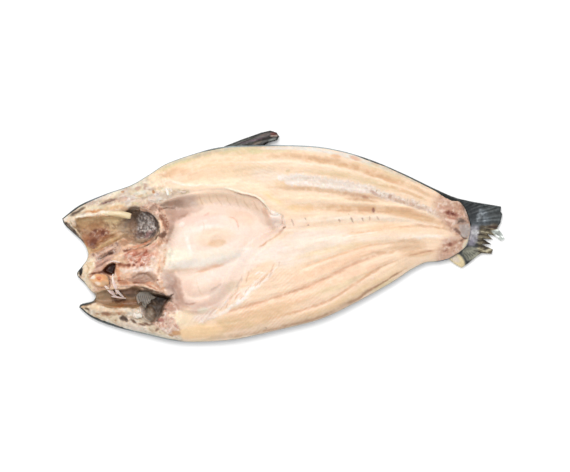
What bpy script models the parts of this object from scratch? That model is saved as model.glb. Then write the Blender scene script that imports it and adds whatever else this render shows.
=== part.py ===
"""A butterflied pangasius: a whole catfish split along the back, gutted and laid open, flesh side up.

The fish is one piece, so it is one solid. +X runs from the jaws to the tail, +Y to the half that carries
the dorsal fin, and +Z up from the cut flesh. The origin is on the flat of the skin side, under the middle
of the fish. Sizes in this file are in millimetres, and MM turns them into Blender's metres.
"""

import bmesh
import bpy
import numpy as np
from mathutils.geometry import delaunay_2d_cdt

MM = 0.001
NAME = "butterflied_fish"

# ---- the plan: four smooth edges that meet at the jaw tips and at the tail's root ----
BACK_EDGE = [
    (-208, 37), (-190, 48.5), (-165, 57), (-140, 63.5), (-122, 72), (-105, 81), (-80, 88), (-52, 93),
    (-15, 92), (30, 88), (60, 81.5), (90, 70), (120, 54.5), (150, 37), (171, 25.5),
]
TAIL_ROOT = [(171, 25.5), (176.5, 18), (179.5, 9), (181, -1), (179, -11), (175, -20), (168, -25.5), (157, -31)]
LOWER_EDGE = [
    (157, -31), (147, -32.5), (135, -32.5), (120, -38.5), (100, -49.5), (65, -65.5), (30, -78.5), (-10, -85.5),
    (-50, -91), (-85, -91), (-110, -88), (-135, -80.5), (-165, -70.5), (-186, -60.5), (-198.5, -49),
]
JAW_EDGE = [
    (-198.5, -49), (-196, -46), (-185, -44), (-182, -39), (-186.5, -33.5), (-191.5, -26), (-198, -17.5),
    (-192.5, -10), (-187.5, -4), (-186, 3), (-190, 13), (-199, 23), (-206, 31), (-208, 37),
]

# ---- the build-up of the flesh, along the fish ----
THICKNESS = [(-208, 9), (-185, 13), (-140, 18), (-95, 20), (-30, 22), (40, 21), (100, 17.5), (150, 13.5), (181, 9)]
RIM_TOP, RIM_UNDER = 6.2, 4.2  # the flesh's edge: its upper corner and where the skin curls up to it
JAW_RIM_DROP = 1.6  # the edge is that much lower at the jaw tips
SHOULDER, CURL = 17.0, 13.0  # how far in the flesh reaches its full height, and the skin lies flat

# ---- muscle bands: name: (centre line, half width, height); a groove has a negative height ----
BANDS = {
    "back_fat": ([(-20, 85), (20, 83), (60, 75), (95, 61), (130, 43), (155, 29)], 5, 0.7),
    "dark_stripe": ([(-14, 81), (15, 79), (50, 71), (90, 57), (130, 39), (150, 27)], 6, -1.5),
    "back_bundle": ([(-60, 76), (-10, 72), (30, 67), (70, 57), (110, 42), (142, 25)], 7, 1.3),
    "spine_seam": ([(0, 59), (35, 53), (80, 42), (110, 29), (150, 12)], 6, -0.9),
    "under_seam": ([(0, 48), (40, 43), (80, 35.5), (115, 26)], 5, -1.3),
    "middle_bundle": ([(-4, 41), (20, 38), (75, 30.5), (125, 19.5), (152, 9)], 5.5, 1.5),
    "middle_groove": ([(5, 30), (45, 27), (80, 22), (120, 15.5), (160, 1)], 6, -1.7),
    "spine_strip": ([(12, 16), (50, 16), (100, 14), (140, 5)], 5, 0.7),
    "centre_crease": ([(3, 11), (50, 10), (110, 8.5), (150, 2), (172, -5)], 4.5, -1.4),
    "belly_bundle": ([(5, -12), (40, -6), (100, -4.5), (140, -7), (164, -10)], 8, 1.9),
    "first_groove": ([(8, -32), (30, -24), (70, -13.5), (105, -11), (140, -14)], 4, -1.3),
    "second_groove": ([(-62, -65), (-20, -56), (25, -45), (70, -26), (110, -17.5), (140, -20)], 4.5, -2.1),
    "outer_bundle": ([(-20, -64), (20, -56), (60, -42), (100, -25), (130, -24)], 6, 0.8),
    "third_groove": ([(0, -71), (40, -60), (70, -43), (115, -24.5)], 4, -1.6),
    "rim_bundle": ([(-80, -82), (-30, -78), (40, -67), (75, -51), (110, -35)], 7, 1.0),
    "rim_groove": ([(-40, -85), (0, -81.5), (50, -68.5), (105, -42.5), (125, -33)], 4, -1.0),
}

# ---- the belly cavity: a sunk floor, a steep upper wall, two mounds with a crease between ----
CAVITY = [
    (-119, 42), (-104, 49.5), (-80, 53), (-55, 53.5), (-36, 48.5), (-20, 42.5), (-10, 32), (-7.5, 25.5),
    (2, 24), (4, 12), (-10, 0), (-26, -14), (-37, -30), (-50, -47), (-66, -58), (-86, -62), (-103, -57),
    (-111, -45), (-117, -28), (-118, -10), (-112, 8), (-109, 26), (-119, 42),
]
CAVITY_FLOOR = 10.5
CAVITY_WALLS = (3.0, 16.0)  # width of the slope: along the upper edge, and along the lower one
CAVITY_WALL_TURNS = (-5.0, 22.0)  # between these heights in the plan the one slope turns into the other
MOUNDS = {  # name: (centre, half length, half width, turn in degrees, height)
    "belly_mound": ((-60, 4), 50, 24, 6, 6.4),
    "fore_mound": ((-98, -9), 22, 13, 12, 4.2),
    "lower_mound": ((-80, -38), 24, 14, 8, 5.2),
    "slope_fill": ((-28, -24), 30, 14, 32, 3.4),
    "mound_dimple": ((-61, 4), 12, 8, 10, -1.6),
    "roof_hollow": ((-100, 41), 17, 5, 4, -3.0),
}
CAVITY_CREASE = ([(4, 11.5), (-12, 0), (-32, -9.5), (-60, -19), (-88, -25)], 4.5, -2.6)
CAVITY_TROUGH = ([(-118, -24), (-107, -37), (-101, -52), (-85, -58), (-64, -52), (-47, -38)], 7, -3.0)

# ---- the head, split and laid open: name: (outline, floor height, width of the wall) ----
HOLLOWS = {
    "upper_mouth": (
        [(-198, 34), (-190, 37), (-170, 36.5), (-145, 35), (-140, 26), (-148, 15), (-163, 8), (-178, 2),
         (-186, 2), (-190, 14), (-198, 25)], 6.5, 4.0),
    "upper_gill": (
        [(-146, 39), (-140, 42), (-129, 40), (-119, 33), (-115.5, 23), (-119, 13), (-127, 7), (-140, 7),
         (-150, 14), (-152, 26)], 3.2, 4.5),
    "lower_mouth": (
        [(-184, -36), (-172, -33.5), (-155, -34), (-140, -33.5), (-134, -42), (-140, -53), (-158, -52.5),
         (-172, -49.5), (-184, -44)], 5.5, 3.5),
    "lower_gill": (
        [(-142, -38), (-133, -36.5), (-122, -41), (-109, -46), (-115, -55), (-119, -63), (-127, -69.5),
         (-135, -64), (-139, -55)], 2.6, 4.0),
    "throat_hole": ([(-173, -16), (-166, -9), (-159, -10), (-162, -21), (-168, -20)], 4.5, 2.5),
    "heart_chamber": ([(-146, -25), (-139, -20.5), (-129, -21), (-124, -27), (-131, -31), (-142, -30.5)], 12.5, 3.0),
}
HEAD_RIDGES = {  # name: (centre line, half width, height)
    "upper_jaw": ([(-205, 37), (-188, 39.5), (-168, 41), (-150, 42), (-143, 42.5)], 4.5, 2.6),
    "upper_jaw_bone": ([(-172, 37.5), (-155, 37), (-142, 35)], 3.2, 3.0),
    "upper_cheek": ([(-190, 46), (-160, 53), (-130, 60)], 6, 1.0),
    "cheek_slit": ([(-170, 47), (-155, 50.5)], 3, -1.6),
    "palate_fold": ([(-184, 0), (-172, 6), (-158, 13), (-149, 13)], 3.5, 1.8),
    "throat_slit": ([(-178, -6), (-170, -2), (-161, 2)], 3, -3.0),
    "tongue_fold": ([(-180, -10), (-168, -5), (-158, 0)], 3.5, 1.6),
    "gill_rim": ([(-116, 32), (-112, 20), (-117, 8), (-126, 2), (-140, 0)], 4.5, 3.4),
    "throat_ridge": ([(-122, 2), (-119, -12), (-121, -24), (-117, -36)], 5.5, 2.2),
    "block_top": ([(-158, -4), (-145, -2), (-130, 1)], 5.5, 3.0),
    "block_front": ([(-157, -13), (-157, -27)], 4.5, 2.4),
    "block_lower": ([(-160, -30), (-146, -31), (-134, -32.5), (-118, -41)], 3.5, 3.2),
    "lower_jaw": ([(-192, -52), (-176, -54), (-158, -56), (-143, -55.5), (-136, -61)], 4, 2.2),
    "lower_cheek": ([(-185, -58), (-155, -68), (-120, -79)], 5.5, 1.0),
    "girdle": ([(-113, -52), (-112, -63), (-106, -74)], 6, 1.8),
}
HEAD_LUMPS = {  # name: (centre, half length, half width, turn in degrees, height)
    "lip": ((-186, -15), 11, 14, 0, 4.2),
    "lip_hole": ((-194.5, -15.5), 3.2, 4.5, 0, -3.2),
    "tongue_knob": ((-175, -25), 9.5, 6.5, -25, 5.4),
    "gill_lump": ((-130, -61), 6, 5, 0, 3.0),
    "white_knob": ((-143, -59), 5, 4.5, 0, 2.6),
    "fat_lobe": ((-102, -66), 8, 9, 0, 2.2),
    "gill_arch": ((-131, 19), 11, 8, 20, 2.4),
    "lower_flap": ((-134, -45), 9, 7, -40, 2.6),
}
LEAST_THICKNESS, LEAST_AT_EDGE = 2.2, 1.3

# ---- how finely the solid is faceted ----
EDGE_STEP, HEAD_STEP, BODY_STEP, UNDER_STEP = 4.0, 3.4, 4.3, 6.5
GUIDE_STEP, BAND_STEP, GUIDE_GAP = 3.2, 5.0, 2.4
HEAD_ENDS = -104.0

# ---- the dorsal fin, folded back, and the torn tail fin: plans, and heights of their faces ----
DORSAL_FIN = [(-50, 84), (-48, 93.5), (-30, 99), (-12, 103.8), (-3, 105.2), (3, 102.8), (5.2, 98.6), (3, 95.4),
              (-5, 94), (-9, 92), (-11, 84)]
DORSAL_LOW, DORSAL_HIGH = 4.0, 7.2
DORSAL_RAYS = [((-44, 90), (-10, 102.5)), ((-34, 89), (-4, 100)), ((-24, 88.5), (-4, 96.8))]
TAIL_FIN = [
    (160, 22), (165, 29), (171, 26.3), (185, 22), (211.5, 15.5), (210.5, 11), (212, 8), (209.5, 0), (206, -5),
    (210, -10), (212.2, -16), (208, -17), (203.5, -12), (196, -9.5), (201, -15.5), (191, -13.5), (199.5, -20),
    (189, -18.5), (200.5, -25), (198.5, -29), (189, -27.5), (183, -31), (176, -36), (169, -40), (162.5, -35.5),
    (156, -29), (160, -20),
]
TAIL_LOW, TAIL_HIGH = 2.4, 5.2
TAIL_RAYS = [
    ((176, 20), (209, 15)), ((178, 14), (210, 11.6)), ((179, 9), (210, 7)), ((180, 4), (208, 2)),
    ((181, -2), (206, -8)), ((181, -7), (199, -9.2)), ((180, -12), (197, -14)), ((178, -17), (196, -21)),
    ((176, -20), (196, -26)), ((172, -24), (184, -29)), ((168, -25), (174, -35)), ((164, -26), (168, -37)),
]
RAY_WIDTH, RAY_HEIGHT = 1.7, 0.8


def curve_through(points, step):
    """Points about `step` apart on a smooth curve through the given ones."""
    p = np.array(points, float)
    p = np.vstack([2 * p[0] - p[1], p, 2 * p[-1] - p[-2]])
    runs = []
    for a, b, c, d in zip(p[:-3], p[1:-2], p[2:-1], p[3:]):
        count = max(1, round(np.linalg.norm(c - b) / step))
        t = np.arange(count)[:, None] / count
        bend = (2 * a - 5 * b + 4 * c - d) * t**2 + (3 * b - a - 3 * c + d) * t**3
        runs.append(0.5 * (2 * b + (c - a) * t + bend))
    return np.vstack([*runs, p[-2:-1]])


def ring_of(edges, step):
    """One closed loop of points through edges that meet end to end."""
    return np.vstack([curve_through(edge, step)[:-1] for edge in edges])


def from_path(x, y, path):
    """Each point's distance from a path, and how far along the path it lies, from 0 to 1."""
    best = np.full(x.shape, np.inf)
    along = np.zeros(x.shape)
    for i, (a, b) in enumerate(zip(path[:-1], path[1:])):
        run = b - a
        t = np.clip(((x - a[0]) * run[0] + (y - a[1]) * run[1]) / (run @ run), 0, 1)
        away = np.hypot(x - a[0] - t * run[0], y - a[1] - t * run[1])
        nearer = away < best
        best = np.where(nearer, away, best)
        along = np.where(nearer, (i + t) / (len(path) - 1), along)
    return best, along


def depth_inside(x, y, ring):
    """Distance from a closed loop, positive inside it."""
    loop = np.vstack([ring, ring[:1]])
    away, _ = from_path(x, y, loop)
    within = np.zeros(x.shape, bool)
    for a, b in zip(loop[:-1], loop[1:]):
        if a[1] != b[1]:
            across = (a[1] > y) != (b[1] > y)
            within ^= across & (x < a[0] + (y - a[1]) * (b[0] - a[0]) / (b[1] - a[1]))
    return np.where(within, away, -away)


def ease(t):
    t = np.clip(t, 0, 1)
    return t * t * (3 - 2 * t)


def hump(t):
    return np.where(np.abs(t) < 1, (1 - t * t) ** 2, 0)


def band(x, y, points, half_width, height):
    """A long roll, or a groove, that dies away at its two ends."""
    away, along = from_path(x, y, curve_through(points, 6))
    return height * hump(away / half_width) * ease(np.minimum(along, 1 - along) / 0.12)


def lump(x, y, centre, half_length, half_width, turn, height):
    """A rounded mound, or a dimple, with an oval plan."""
    cos, sin = np.cos(np.radians(turn)), np.sin(np.radians(turn))
    dx, dy = x - centre[0], y - centre[1]
    return height * hump(np.hypot((dx * cos + dy * sin) / half_length, (dy * cos - dx * sin) / half_width))


def sink(x, y, z, ring, floor, wall):
    """Lowers the surface to a floor inside a loop, down a wall of the given width."""
    share = ease(depth_inside(x, y, ring) / wall)
    return z + (np.minimum(floor, z) - z) * share


def rim_drop(x):
    """The fish's edge is lower towards the jaws."""
    return JAW_RIM_DROP * ease((HEAD_ENDS - x) / 80)


def under_height(x, y, outline):
    """The skin side: flat where it rests, curling up to the edge."""
    t = np.clip(depth_inside(x, y, outline) / CURL, 0, 1)
    return (RIM_UNDER - rim_drop(x)) * (1 - np.sqrt(1 - (1 - t) ** 2))


def top_height(x, y, outline):
    """The flesh side: a rounded slab with its bands, the sunk cavity and the opened head."""
    profile = curve_through(THICKNESS, 4)
    full = np.interp(x, profile[:, 0], profile[:, 1])
    rim = RIM_TOP - rim_drop(x)
    t = np.clip(depth_inside(x, y, outline) / SHOULDER, 0, 1)
    rise = np.sqrt(1 - (1 - t) ** 2)
    relief = sum(band(x, y, *shape) for shape in BANDS.values())
    z = rim + (full - rim) * rise + relief * ease(3 * t)

    turn = ease((y - CAVITY_WALL_TURNS[0]) / (CAVITY_WALL_TURNS[1] - CAVITY_WALL_TURNS[0]))
    wall = CAVITY_WALLS[1] + (CAVITY_WALLS[0] - CAVITY_WALLS[1]) * turn
    floor = CAVITY_FLOOR + sum(lump(x, y, *shape) for shape in MOUNDS.values())
    floor = floor + band(x, y, *CAVITY_TROUGH)
    z = sink(x, y, z, curve_through(CAVITY, 4)[:-1], floor, wall)
    z = z + band(x, y, *CAVITY_CREASE)

    z = z + sum(band(x, y, *shape) for shape in HEAD_RIDGES.values()) * ease(3 * t)
    for ring, level, width in HOLLOWS.values():
        z = sink(x, y, z, curve_through([*ring, ring[0]], 4)[:-1], level, width)
    z = z + sum(lump(x, y, *shape) for shape in HEAD_LUMPS.values()) * ease(3 * t)
    least = LEAST_AT_EDGE + (LEAST_THICKNESS - LEAST_AT_EDGE) * ease(t)
    return np.maximum(z, under_height(x, y, outline) + least)


def beside(line, offset, closed=False):
    """A line moved sideways, to its left where the offset is positive."""
    if closed:
        run = np.roll(line, -1, axis=0) - np.roll(line, 1, axis=0)
    else:
        run = np.gradient(line, axis=0)
    return line + offset * np.column_stack([-run[:, 1], run[:, 0]]) / np.linalg.norm(run, axis=1)[:, None]


def guides(outline):
    """Points along the lips and feet of the hollows, and along the rolls and grooves, for facets to follow."""
    lines = []
    hollows = [(ring, width) for ring, _, width in HOLLOWS.values()]
    for ring, width in [*hollows, (CAVITY[:-1], CAVITY_WALLS[0])]:
        lip = curve_through([*ring, ring[0]], GUIDE_STEP)[:-1]
        lines.append(lip)
        for foot in (beside(lip, width, closed=True), beside(lip, -width, closed=True)):
            lines.append(foot[depth_inside(foot[:, 0], foot[:, 1], lip) > 0.8 * width])
    for points, _, _ in [*HEAD_RIDGES.values(), CAVITY_CREASE]:
        lines.append(curve_through(points, GUIDE_STEP))
    for points, half_width, _ in BANDS.values():
        crest = curve_through(points, BAND_STEP)
        lines += [crest, beside(crest, half_width), beside(crest, -half_width)]
    wanted = np.vstack(lines)
    wanted = wanted[depth_inside(wanted[:, 0], wanted[:, 1], outline) > GUIDE_GAP]
    kept = wanted[:1]
    for point in wanted[1:]:
        if np.min(np.hypot(*(kept - point).T)) > GUIDE_GAP:
            kept = np.vstack([kept, point])
    return kept


def lattice(outline, step, x_from=-300.0, x_to=300.0, clear_of=None):
    """Points in staggered rows inside the outline, clear of its edge and of other points."""
    rows = np.arange(-110, 110, step * 0.866)
    points = []
    for i, row in enumerate(rows):
        xs = np.arange(-220 + (i % 2) * step / 2, 200, step)
        points += [(px, row) for px in xs if x_from <= px < x_to]
    points = np.array(points)
    points = points[depth_inside(points[:, 0], points[:, 1], outline) > 0.55 * step]
    if clear_of is not None:
        away = [np.min(np.hypot(*(clear_of - point).T)) for point in points]
        points = points[np.array(away) > 0.7 * step]
    return points


def triangles(outline, inner):
    """A sheet of triangles that fills the outline, through the inner points."""
    points = [tuple(p) for p in np.vstack([outline, inner])]
    count = len(outline)
    edges = [(i, (i + 1) % count) for i in range(count)]
    made = delaunay_2d_cdt(points, edges, [], 1, 1e-6)
    return np.array([tuple(p) for p in made[0]]), [tuple(face) for face in made[2]]


def material(name, colour, roughness):
    made = bpy.data.materials.new(name)
    made.use_nodes = True
    surface = made.node_tree.nodes["Principled BSDF"]
    surface.inputs["Base Color"].default_value = (*colour, 1)
    surface.inputs["Roughness"].default_value = roughness
    surface.inputs["Metallic"].default_value = 0
    return made


def solid(name, points, faces, finish):
    mesh = bpy.data.meshes.new(name)
    mesh.from_pydata([tuple(p * MM) for p in points], [], faces)
    mesh.materials.append(finish)
    made = bpy.data.objects.new(name, mesh)
    bpy.context.scene.collection.objects.link(made)
    return made


def fish_body(finish):
    """The split body and head: the flesh side, the skin side and the edge between, as one closed shell."""
    outline = ring_of([BACK_EDGE, TAIL_ROOT, LOWER_EDGE, JAW_EDGE], EDGE_STEP)
    lines = guides(outline)
    head = lattice(outline, HEAD_STEP, x_to=HEAD_ENDS, clear_of=lines)
    body = lattice(outline, BODY_STEP, x_from=HEAD_ENDS, clear_of=lines)
    top, top_faces = triangles(outline, np.vstack([lines, head, body]))
    under, under_faces = triangles(outline, lattice(outline, UNDER_STEP))
    count = len(outline)
    top_z = top_height(top[:, 0], top[:, 1], outline)
    under_z = under_height(under[:, 0], under[:, 1], outline)
    points = np.vstack([np.column_stack([top, top_z]), np.column_stack([under, under_z])])
    first = len(top)
    faces = list(top_faces)
    faces += [tuple(first + i for i in reversed(face)) for face in under_faces]
    for i in range(count):
        j = (i + 1) % count
        faces.append((i, first + i, first + j, j))
    made = solid(NAME, points, faces, finish)
    flatten_the_rest(made)
    return made


def flatten_the_rest(made):
    """Makes the flat that the fish rests on one face."""
    work = bmesh.new()
    work.from_mesh(made.data)
    flat = [face for face in work.faces if all(abs(vert.co.z) < 1e-9 for vert in face.verts)]
    bmesh.ops.dissolve_faces(work, faces=flat, use_verts=False)
    work.to_mesh(made.data)
    work.free()


def fin(name, plan, low, high, rays, finish):
    """A thin fin: a flat plate with its rays standing as low ribs on its upper face."""
    plan = np.array(plan, float)[::-1]
    count = len(plan)
    points = np.vstack([np.column_stack([plan, np.full(count, low)]), np.column_stack([plan, np.full(count, high)])])
    faces = [tuple(reversed(range(count))), tuple(range(count, 2 * count))]
    faces += [(i, (i + 1) % count, count + (i + 1) % count, count + i) for i in range(count)]
    pieces = [solid(name, points, faces, finish)]
    for number, (root, tip) in enumerate(rays):
        root, tip = np.array(root, float), np.array(tip, float)
        side = np.array([root[1] - tip[1], tip[0] - root[0]]) / np.linalg.norm(tip - root) * RAY_WIDTH / 2
        corners = [root - side, tip - side * 0.6, tip + side * 0.6, root + side]
        foot = [(*corner, high - 0.6) for corner in corners]
        crest = [(*root, high + RAY_HEIGHT), (*tip, high + RAY_HEIGHT * 0.5)]
        sides = [(3, 2, 1, 0), (0, 1, 5, 4), (2, 3, 4, 5), (1, 2, 5), (3, 0, 4)]
        pieces.append(solid(f"{name}_ray_{number}", np.array([*foot, *crest]), sides, finish))
    return pieces


def faces_outwards(obj):
    """Turns a closed piece's faces out, whichever way its plan was listed."""
    bpy.context.view_layer.objects.active = obj
    obj.select_set(True)
    bpy.ops.object.mode_set(mode="EDIT")
    bpy.ops.mesh.select_all(action="SELECT")
    bpy.ops.mesh.normals_make_consistent(inside=False)
    bpy.ops.object.mode_set(mode="OBJECT")
    obj.select_set(False)


def fuse(body, pieces):
    """Joins the fins to the body, so that the fish is one solid."""
    group = bpy.data.collections.new("fins")
    bpy.context.scene.collection.children.link(group)
    for piece in pieces:
        bpy.context.scene.collection.objects.unlink(piece)
        group.objects.link(piece)
    join = body.modifiers.new("fins", "BOOLEAN")
    join.operation = "UNION"
    join.operand_type = "COLLECTION"
    join.collection = group
    join.solver = "EXACT"
    bpy.context.view_layer.objects.active = body
    bpy.ops.object.modifier_apply(modifier=join.name)
    for piece in list(group.objects):
        bpy.data.objects.remove(piece)
    bpy.data.collections.remove(group)


for old in list(bpy.data.objects):
    bpy.data.objects.remove(old)
flesh = material("raw_flesh", (0.87, 0.66, 0.47), 0.42)
fish = fish_body(flesh)
fins = fin("dorsal_fin", DORSAL_FIN, DORSAL_LOW, DORSAL_HIGH, DORSAL_RAYS, flesh)
fins += fin("tail_fin", TAIL_FIN, TAIL_LOW, TAIL_HIGH, TAIL_RAYS, flesh)
for piece in [fish, *fins]:
    faces_outwards(piece)
fuse(fish, fins)
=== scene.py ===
"""A butterflied pangasius, dressed: the raw flesh, the skin under it, the opened head and the two fins."""

import math

import bmesh
import bpy
import numpy as np
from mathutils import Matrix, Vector
from mathutils.geometry import delaunay_2d_cdt


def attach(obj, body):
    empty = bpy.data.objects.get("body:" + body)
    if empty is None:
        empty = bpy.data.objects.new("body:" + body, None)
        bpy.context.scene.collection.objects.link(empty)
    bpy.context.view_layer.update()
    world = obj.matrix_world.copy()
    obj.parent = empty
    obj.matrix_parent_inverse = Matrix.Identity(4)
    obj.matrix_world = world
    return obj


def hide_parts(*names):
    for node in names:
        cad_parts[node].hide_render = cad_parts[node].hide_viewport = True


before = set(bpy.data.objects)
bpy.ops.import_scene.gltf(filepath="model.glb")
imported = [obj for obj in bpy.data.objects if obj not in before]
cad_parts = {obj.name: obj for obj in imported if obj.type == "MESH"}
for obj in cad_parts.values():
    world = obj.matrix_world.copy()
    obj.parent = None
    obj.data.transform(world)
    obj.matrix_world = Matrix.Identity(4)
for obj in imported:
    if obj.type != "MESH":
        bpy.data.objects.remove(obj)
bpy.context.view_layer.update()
FISH = "butterflied_fish"

# ---------- The floor, the light and the camera ----------
# The fish lies on a plain white floor. A wide softbox stands beyond the back edge and lights across the
# muscle bands, and an even white sky fills the hollows. The camera looks straight down.
bpy.ops.object.select_all(action="DESELECT")
bpy.ops.mesh.primitive_plane_add(size=4, location=(0, 0, 0))
floor = bpy.context.object
floor.name = "floor"
white = bpy.data.materials.new("white_floor")
white.use_nodes = True
white.node_tree.nodes["Principled BSDF"].inputs["Base Color"].default_value = (0.93, 0.93, 0.93, 1)
white.node_tree.nodes["Principled BSDF"].inputs["Roughness"].default_value = 0.9
white.node_tree.nodes["Principled BSDF"].inputs["Specular IOR Level"].default_value = 0
floor.data.materials.append(white)

SKY, SOFTBOX, SPARK = 0.92, 10.0, 1.6
sky = bpy.data.worlds.new("sky")
sky.use_nodes = True
sky.node_tree.nodes["Background"].inputs["Color"].default_value = (1, 1, 1, 1)
sky.node_tree.nodes["Background"].inputs["Strength"].default_value = SKY
bpy.context.scene.world = sky
for name, power, size, place in (
    ("softbox", SOFTBOX, 0.9, (-0.12, 0.55, 1.15)),
    ("spark", SPARK, 0.12, (-0.25, 0.5, 1.2)),
):
    bpy.ops.object.light_add(type="AREA", location=place)
    lamp = bpy.context.object
    lamp.name = name
    lamp.data.energy = power
    lamp.data.size = size
    lamp.rotation_euler = (-Vector(place)).to_track_quat("-Z", "Y").to_euler()

HEIGHT_OF_VIEW, WIDTH_OF_VIEW, TURN_OF_VIEW, HEIGHT_IN_FOCUS = 1.9, 0.54435, -4.5, 0.006
bpy.ops.object.camera_add(location=(0.00316, 0.00358, HEIGHT_OF_VIEW))
camera = bpy.context.object
camera.rotation_euler = (0, 0, math.radians(TURN_OF_VIEW))
camera.data.sensor_width = 36
camera.data.lens = camera.data.sensor_width * (HEIGHT_OF_VIEW - HEIGHT_IN_FOCUS) / WIDTH_OF_VIEW
bpy.context.scene.camera = camera
bpy.context.scene.view_settings.view_transform = "Standard"

# ---------- The flesh ----------
# The carcass is one piece of pale raw muscle, cut from the head to the tail along the back and laid open,
# with the emptied belly sunk in its middle and the split skull at one end. Its shape follows the knife's
# cuts and the muscle bundles, and its colours are the muscle, fat, blood and membrane that show.
MM = 0.001
BACK_EDGE = [
    (-208, 37), (-190, 48.5), (-165, 57), (-140, 63.5), (-122, 72), (-105, 81), (-80, 88), (-52, 93),
    (-15, 92), (30, 88), (60, 81.5), (90, 70), (120, 54.5), (150, 37), (171, 25.5),
]
TAIL_ROOT = [
    (171, 25.5), (176.5, 18), (179.5, 9), (181, -1), (179, -11), (175, -20), (168, -25.5), (157, -31),
]
LOWER_EDGE = [
    (157, -31), (147, -32.5), (135, -32.5), (120, -38.5), (100, -49.5), (65, -65.5), (30, -78.5),
    (-10, -85.5), (-50, -91), (-85, -91), (-110, -88), (-135, -80.5), (-165, -70.5), (-186, -60.5),
    (-198.5, -49),
]
JAW_EDGE = [
    (-198.5, -49), (-196, -46), (-185, -44), (-182, -39), (-186.5, -33.5), (-191.5, -26), (-198, -17.5),
    (-192.5, -10), (-187.5, -4), (-186, 3), (-190, 13), (-199, 23), (-206, 31), (-208, 37),
]
THICKNESS = [
    (-208, 9), (-185, 13), (-140, 18), (-95, 20), (-30, 22), (40, 21), (100, 17.5), (150, 13.5), (181, 9),
]
RIM_TOP, RIM_UNDER, JAW_RIM_DROP = 6.2, 4.2, 1.6
SHOULDER, CURL, GIVE = 17.0, 13.0, 0.62
HEAD_ENDS = -104.0
BANDS = [
    ([(-20, 85), (20, 83), (60, 75), (95, 61), (130, 43), (155, 29)], 5, 0.7),
    ([(-14, 81), (15, 79), (50, 71), (90, 57), (130, 39), (150, 27)], 6, -1.5),
    ([(-60, 76), (-10, 72), (30, 67), (70, 57), (110, 42), (142, 25)], 7, 1.3),
    ([(0, 59), (35, 53), (80, 42), (110, 29), (150, 12)], 6, -0.9),
    ([(0, 48), (40, 43), (80, 35.5), (115, 26)], 5, -1.3),
    ([(-4, 41), (20, 38), (75, 30.5), (125, 19.5), (152, 9)], 5.5, 1.5),
    ([(5, 30), (45, 27), (80, 22), (120, 15.5), (160, 1)], 6, -1.7),
    ([(12, 16), (50, 16), (100, 14), (140, 5)], 5, 0.7),
    ([(3, 11), (50, 10), (110, 8.5), (150, 2), (172, -5)], 4.5, -1.4),
    ([(5, -12), (40, -6), (100, -4.5), (140, -7), (164, -10)], 8, 1.9),
    ([(8, -32), (30, -24), (70, -13.5), (105, -11), (140, -14)], 4, -1.3),
    ([(-62, -65), (-20, -56), (25, -45), (70, -26), (110, -17.5), (140, -20)], 4.5, -2.1),
    ([(-20, -64), (20, -56), (60, -42), (100, -25), (130, -24)], 6, 0.8),
    ([(0, -71), (40, -60), (70, -43), (115, -24.5)], 4, -1.6),
    ([(-80, -82), (-30, -78), (40, -67), (75, -51), (110, -35)], 7, 1.0),
    ([(-40, -85), (0, -81.5), (50, -68.5), (105, -42.5), (125, -33)], 4, -1.0),
]
CAVITY = [
    (-119, 42), (-104, 49.5), (-80, 53), (-55, 53.5), (-36, 48.5), (-20, 42.5), (-10, 32), (-7.5, 25.5),
    (2, 24), (4, 12), (-10, 0), (-26, -14), (-37, -30), (-50, -47), (-66, -58), (-86, -62), (-103, -57),
    (-111, -45), (-117, -28), (-118, -10), (-112, 8), (-109, 26), (-119, 42),
]
CAVITY_FLOOR, CAVITY_WALLS, CAVITY_WALL_TURNS = 10.5, (3.0, 16.0), (-5.0, 22.0)
MOUNDS = [
    ((-60, 4), 50, 24, 6, 6.4), ((-98, -9), 22, 13, 12, 4.2), ((-80, -38), 24, 14, 8, 5.2),
    ((-28, -24), 30, 14, 32, 3.4), ((-61, 4), 12, 8, 10, -1.6), ((-100, 41), 17, 5, 4, -3.0),
]
CAVITY_CREASE = ([(4, 11.5), (-12, 0), (-32, -9.5), (-60, -19), (-88, -25)], 4.5, -2.6)
CAVITY_TROUGH = ([(-118, -24), (-107, -37), (-101, -52), (-85, -58), (-64, -52), (-47, -38)], 7, -3.0)
UPPER_MOUTH = [
    (-198, 34), (-190, 37), (-170, 36.5), (-145, 35), (-140, 26), (-148, 15), (-163, 8), (-178, 2), (-186, 2),
    (-190, 14), (-198, 25),
]
UPPER_GILL = [
    (-146, 39), (-140, 42), (-129, 40), (-119, 33), (-115.5, 23), (-119, 13), (-127, 7), (-140, 7),
    (-150, 14), (-152, 26),
]
LOWER_MOUTH = [
    (-184, -36), (-172, -33.5), (-155, -34), (-140, -33.5), (-134, -42), (-140, -53), (-158, -52.5),
    (-172, -49.5), (-184, -44),
]
LOWER_GILL = [
    (-142, -38), (-133, -36.5), (-122, -41), (-109, -46), (-115, -55), (-119, -63), (-127, -69.5),
    (-135, -64), (-139, -55),
]
THROAT_HOLE = [(-173, -16), (-166, -9), (-159, -10), (-162, -21), (-168, -20)]
HEART_CHAMBER = [(-146, -25), (-139, -20.5), (-129, -21), (-124, -27), (-131, -31), (-142, -30.5)]
HOLLOWS = [
    (UPPER_MOUTH, 6.5, 4.0), (UPPER_GILL, 3.2, 4.5), (LOWER_MOUTH, 5.5, 3.5), (LOWER_GILL, 2.6, 4.0),
    (THROAT_HOLE, 4.5, 2.5), (HEART_CHAMBER, 12.5, 3.0),
]
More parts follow.
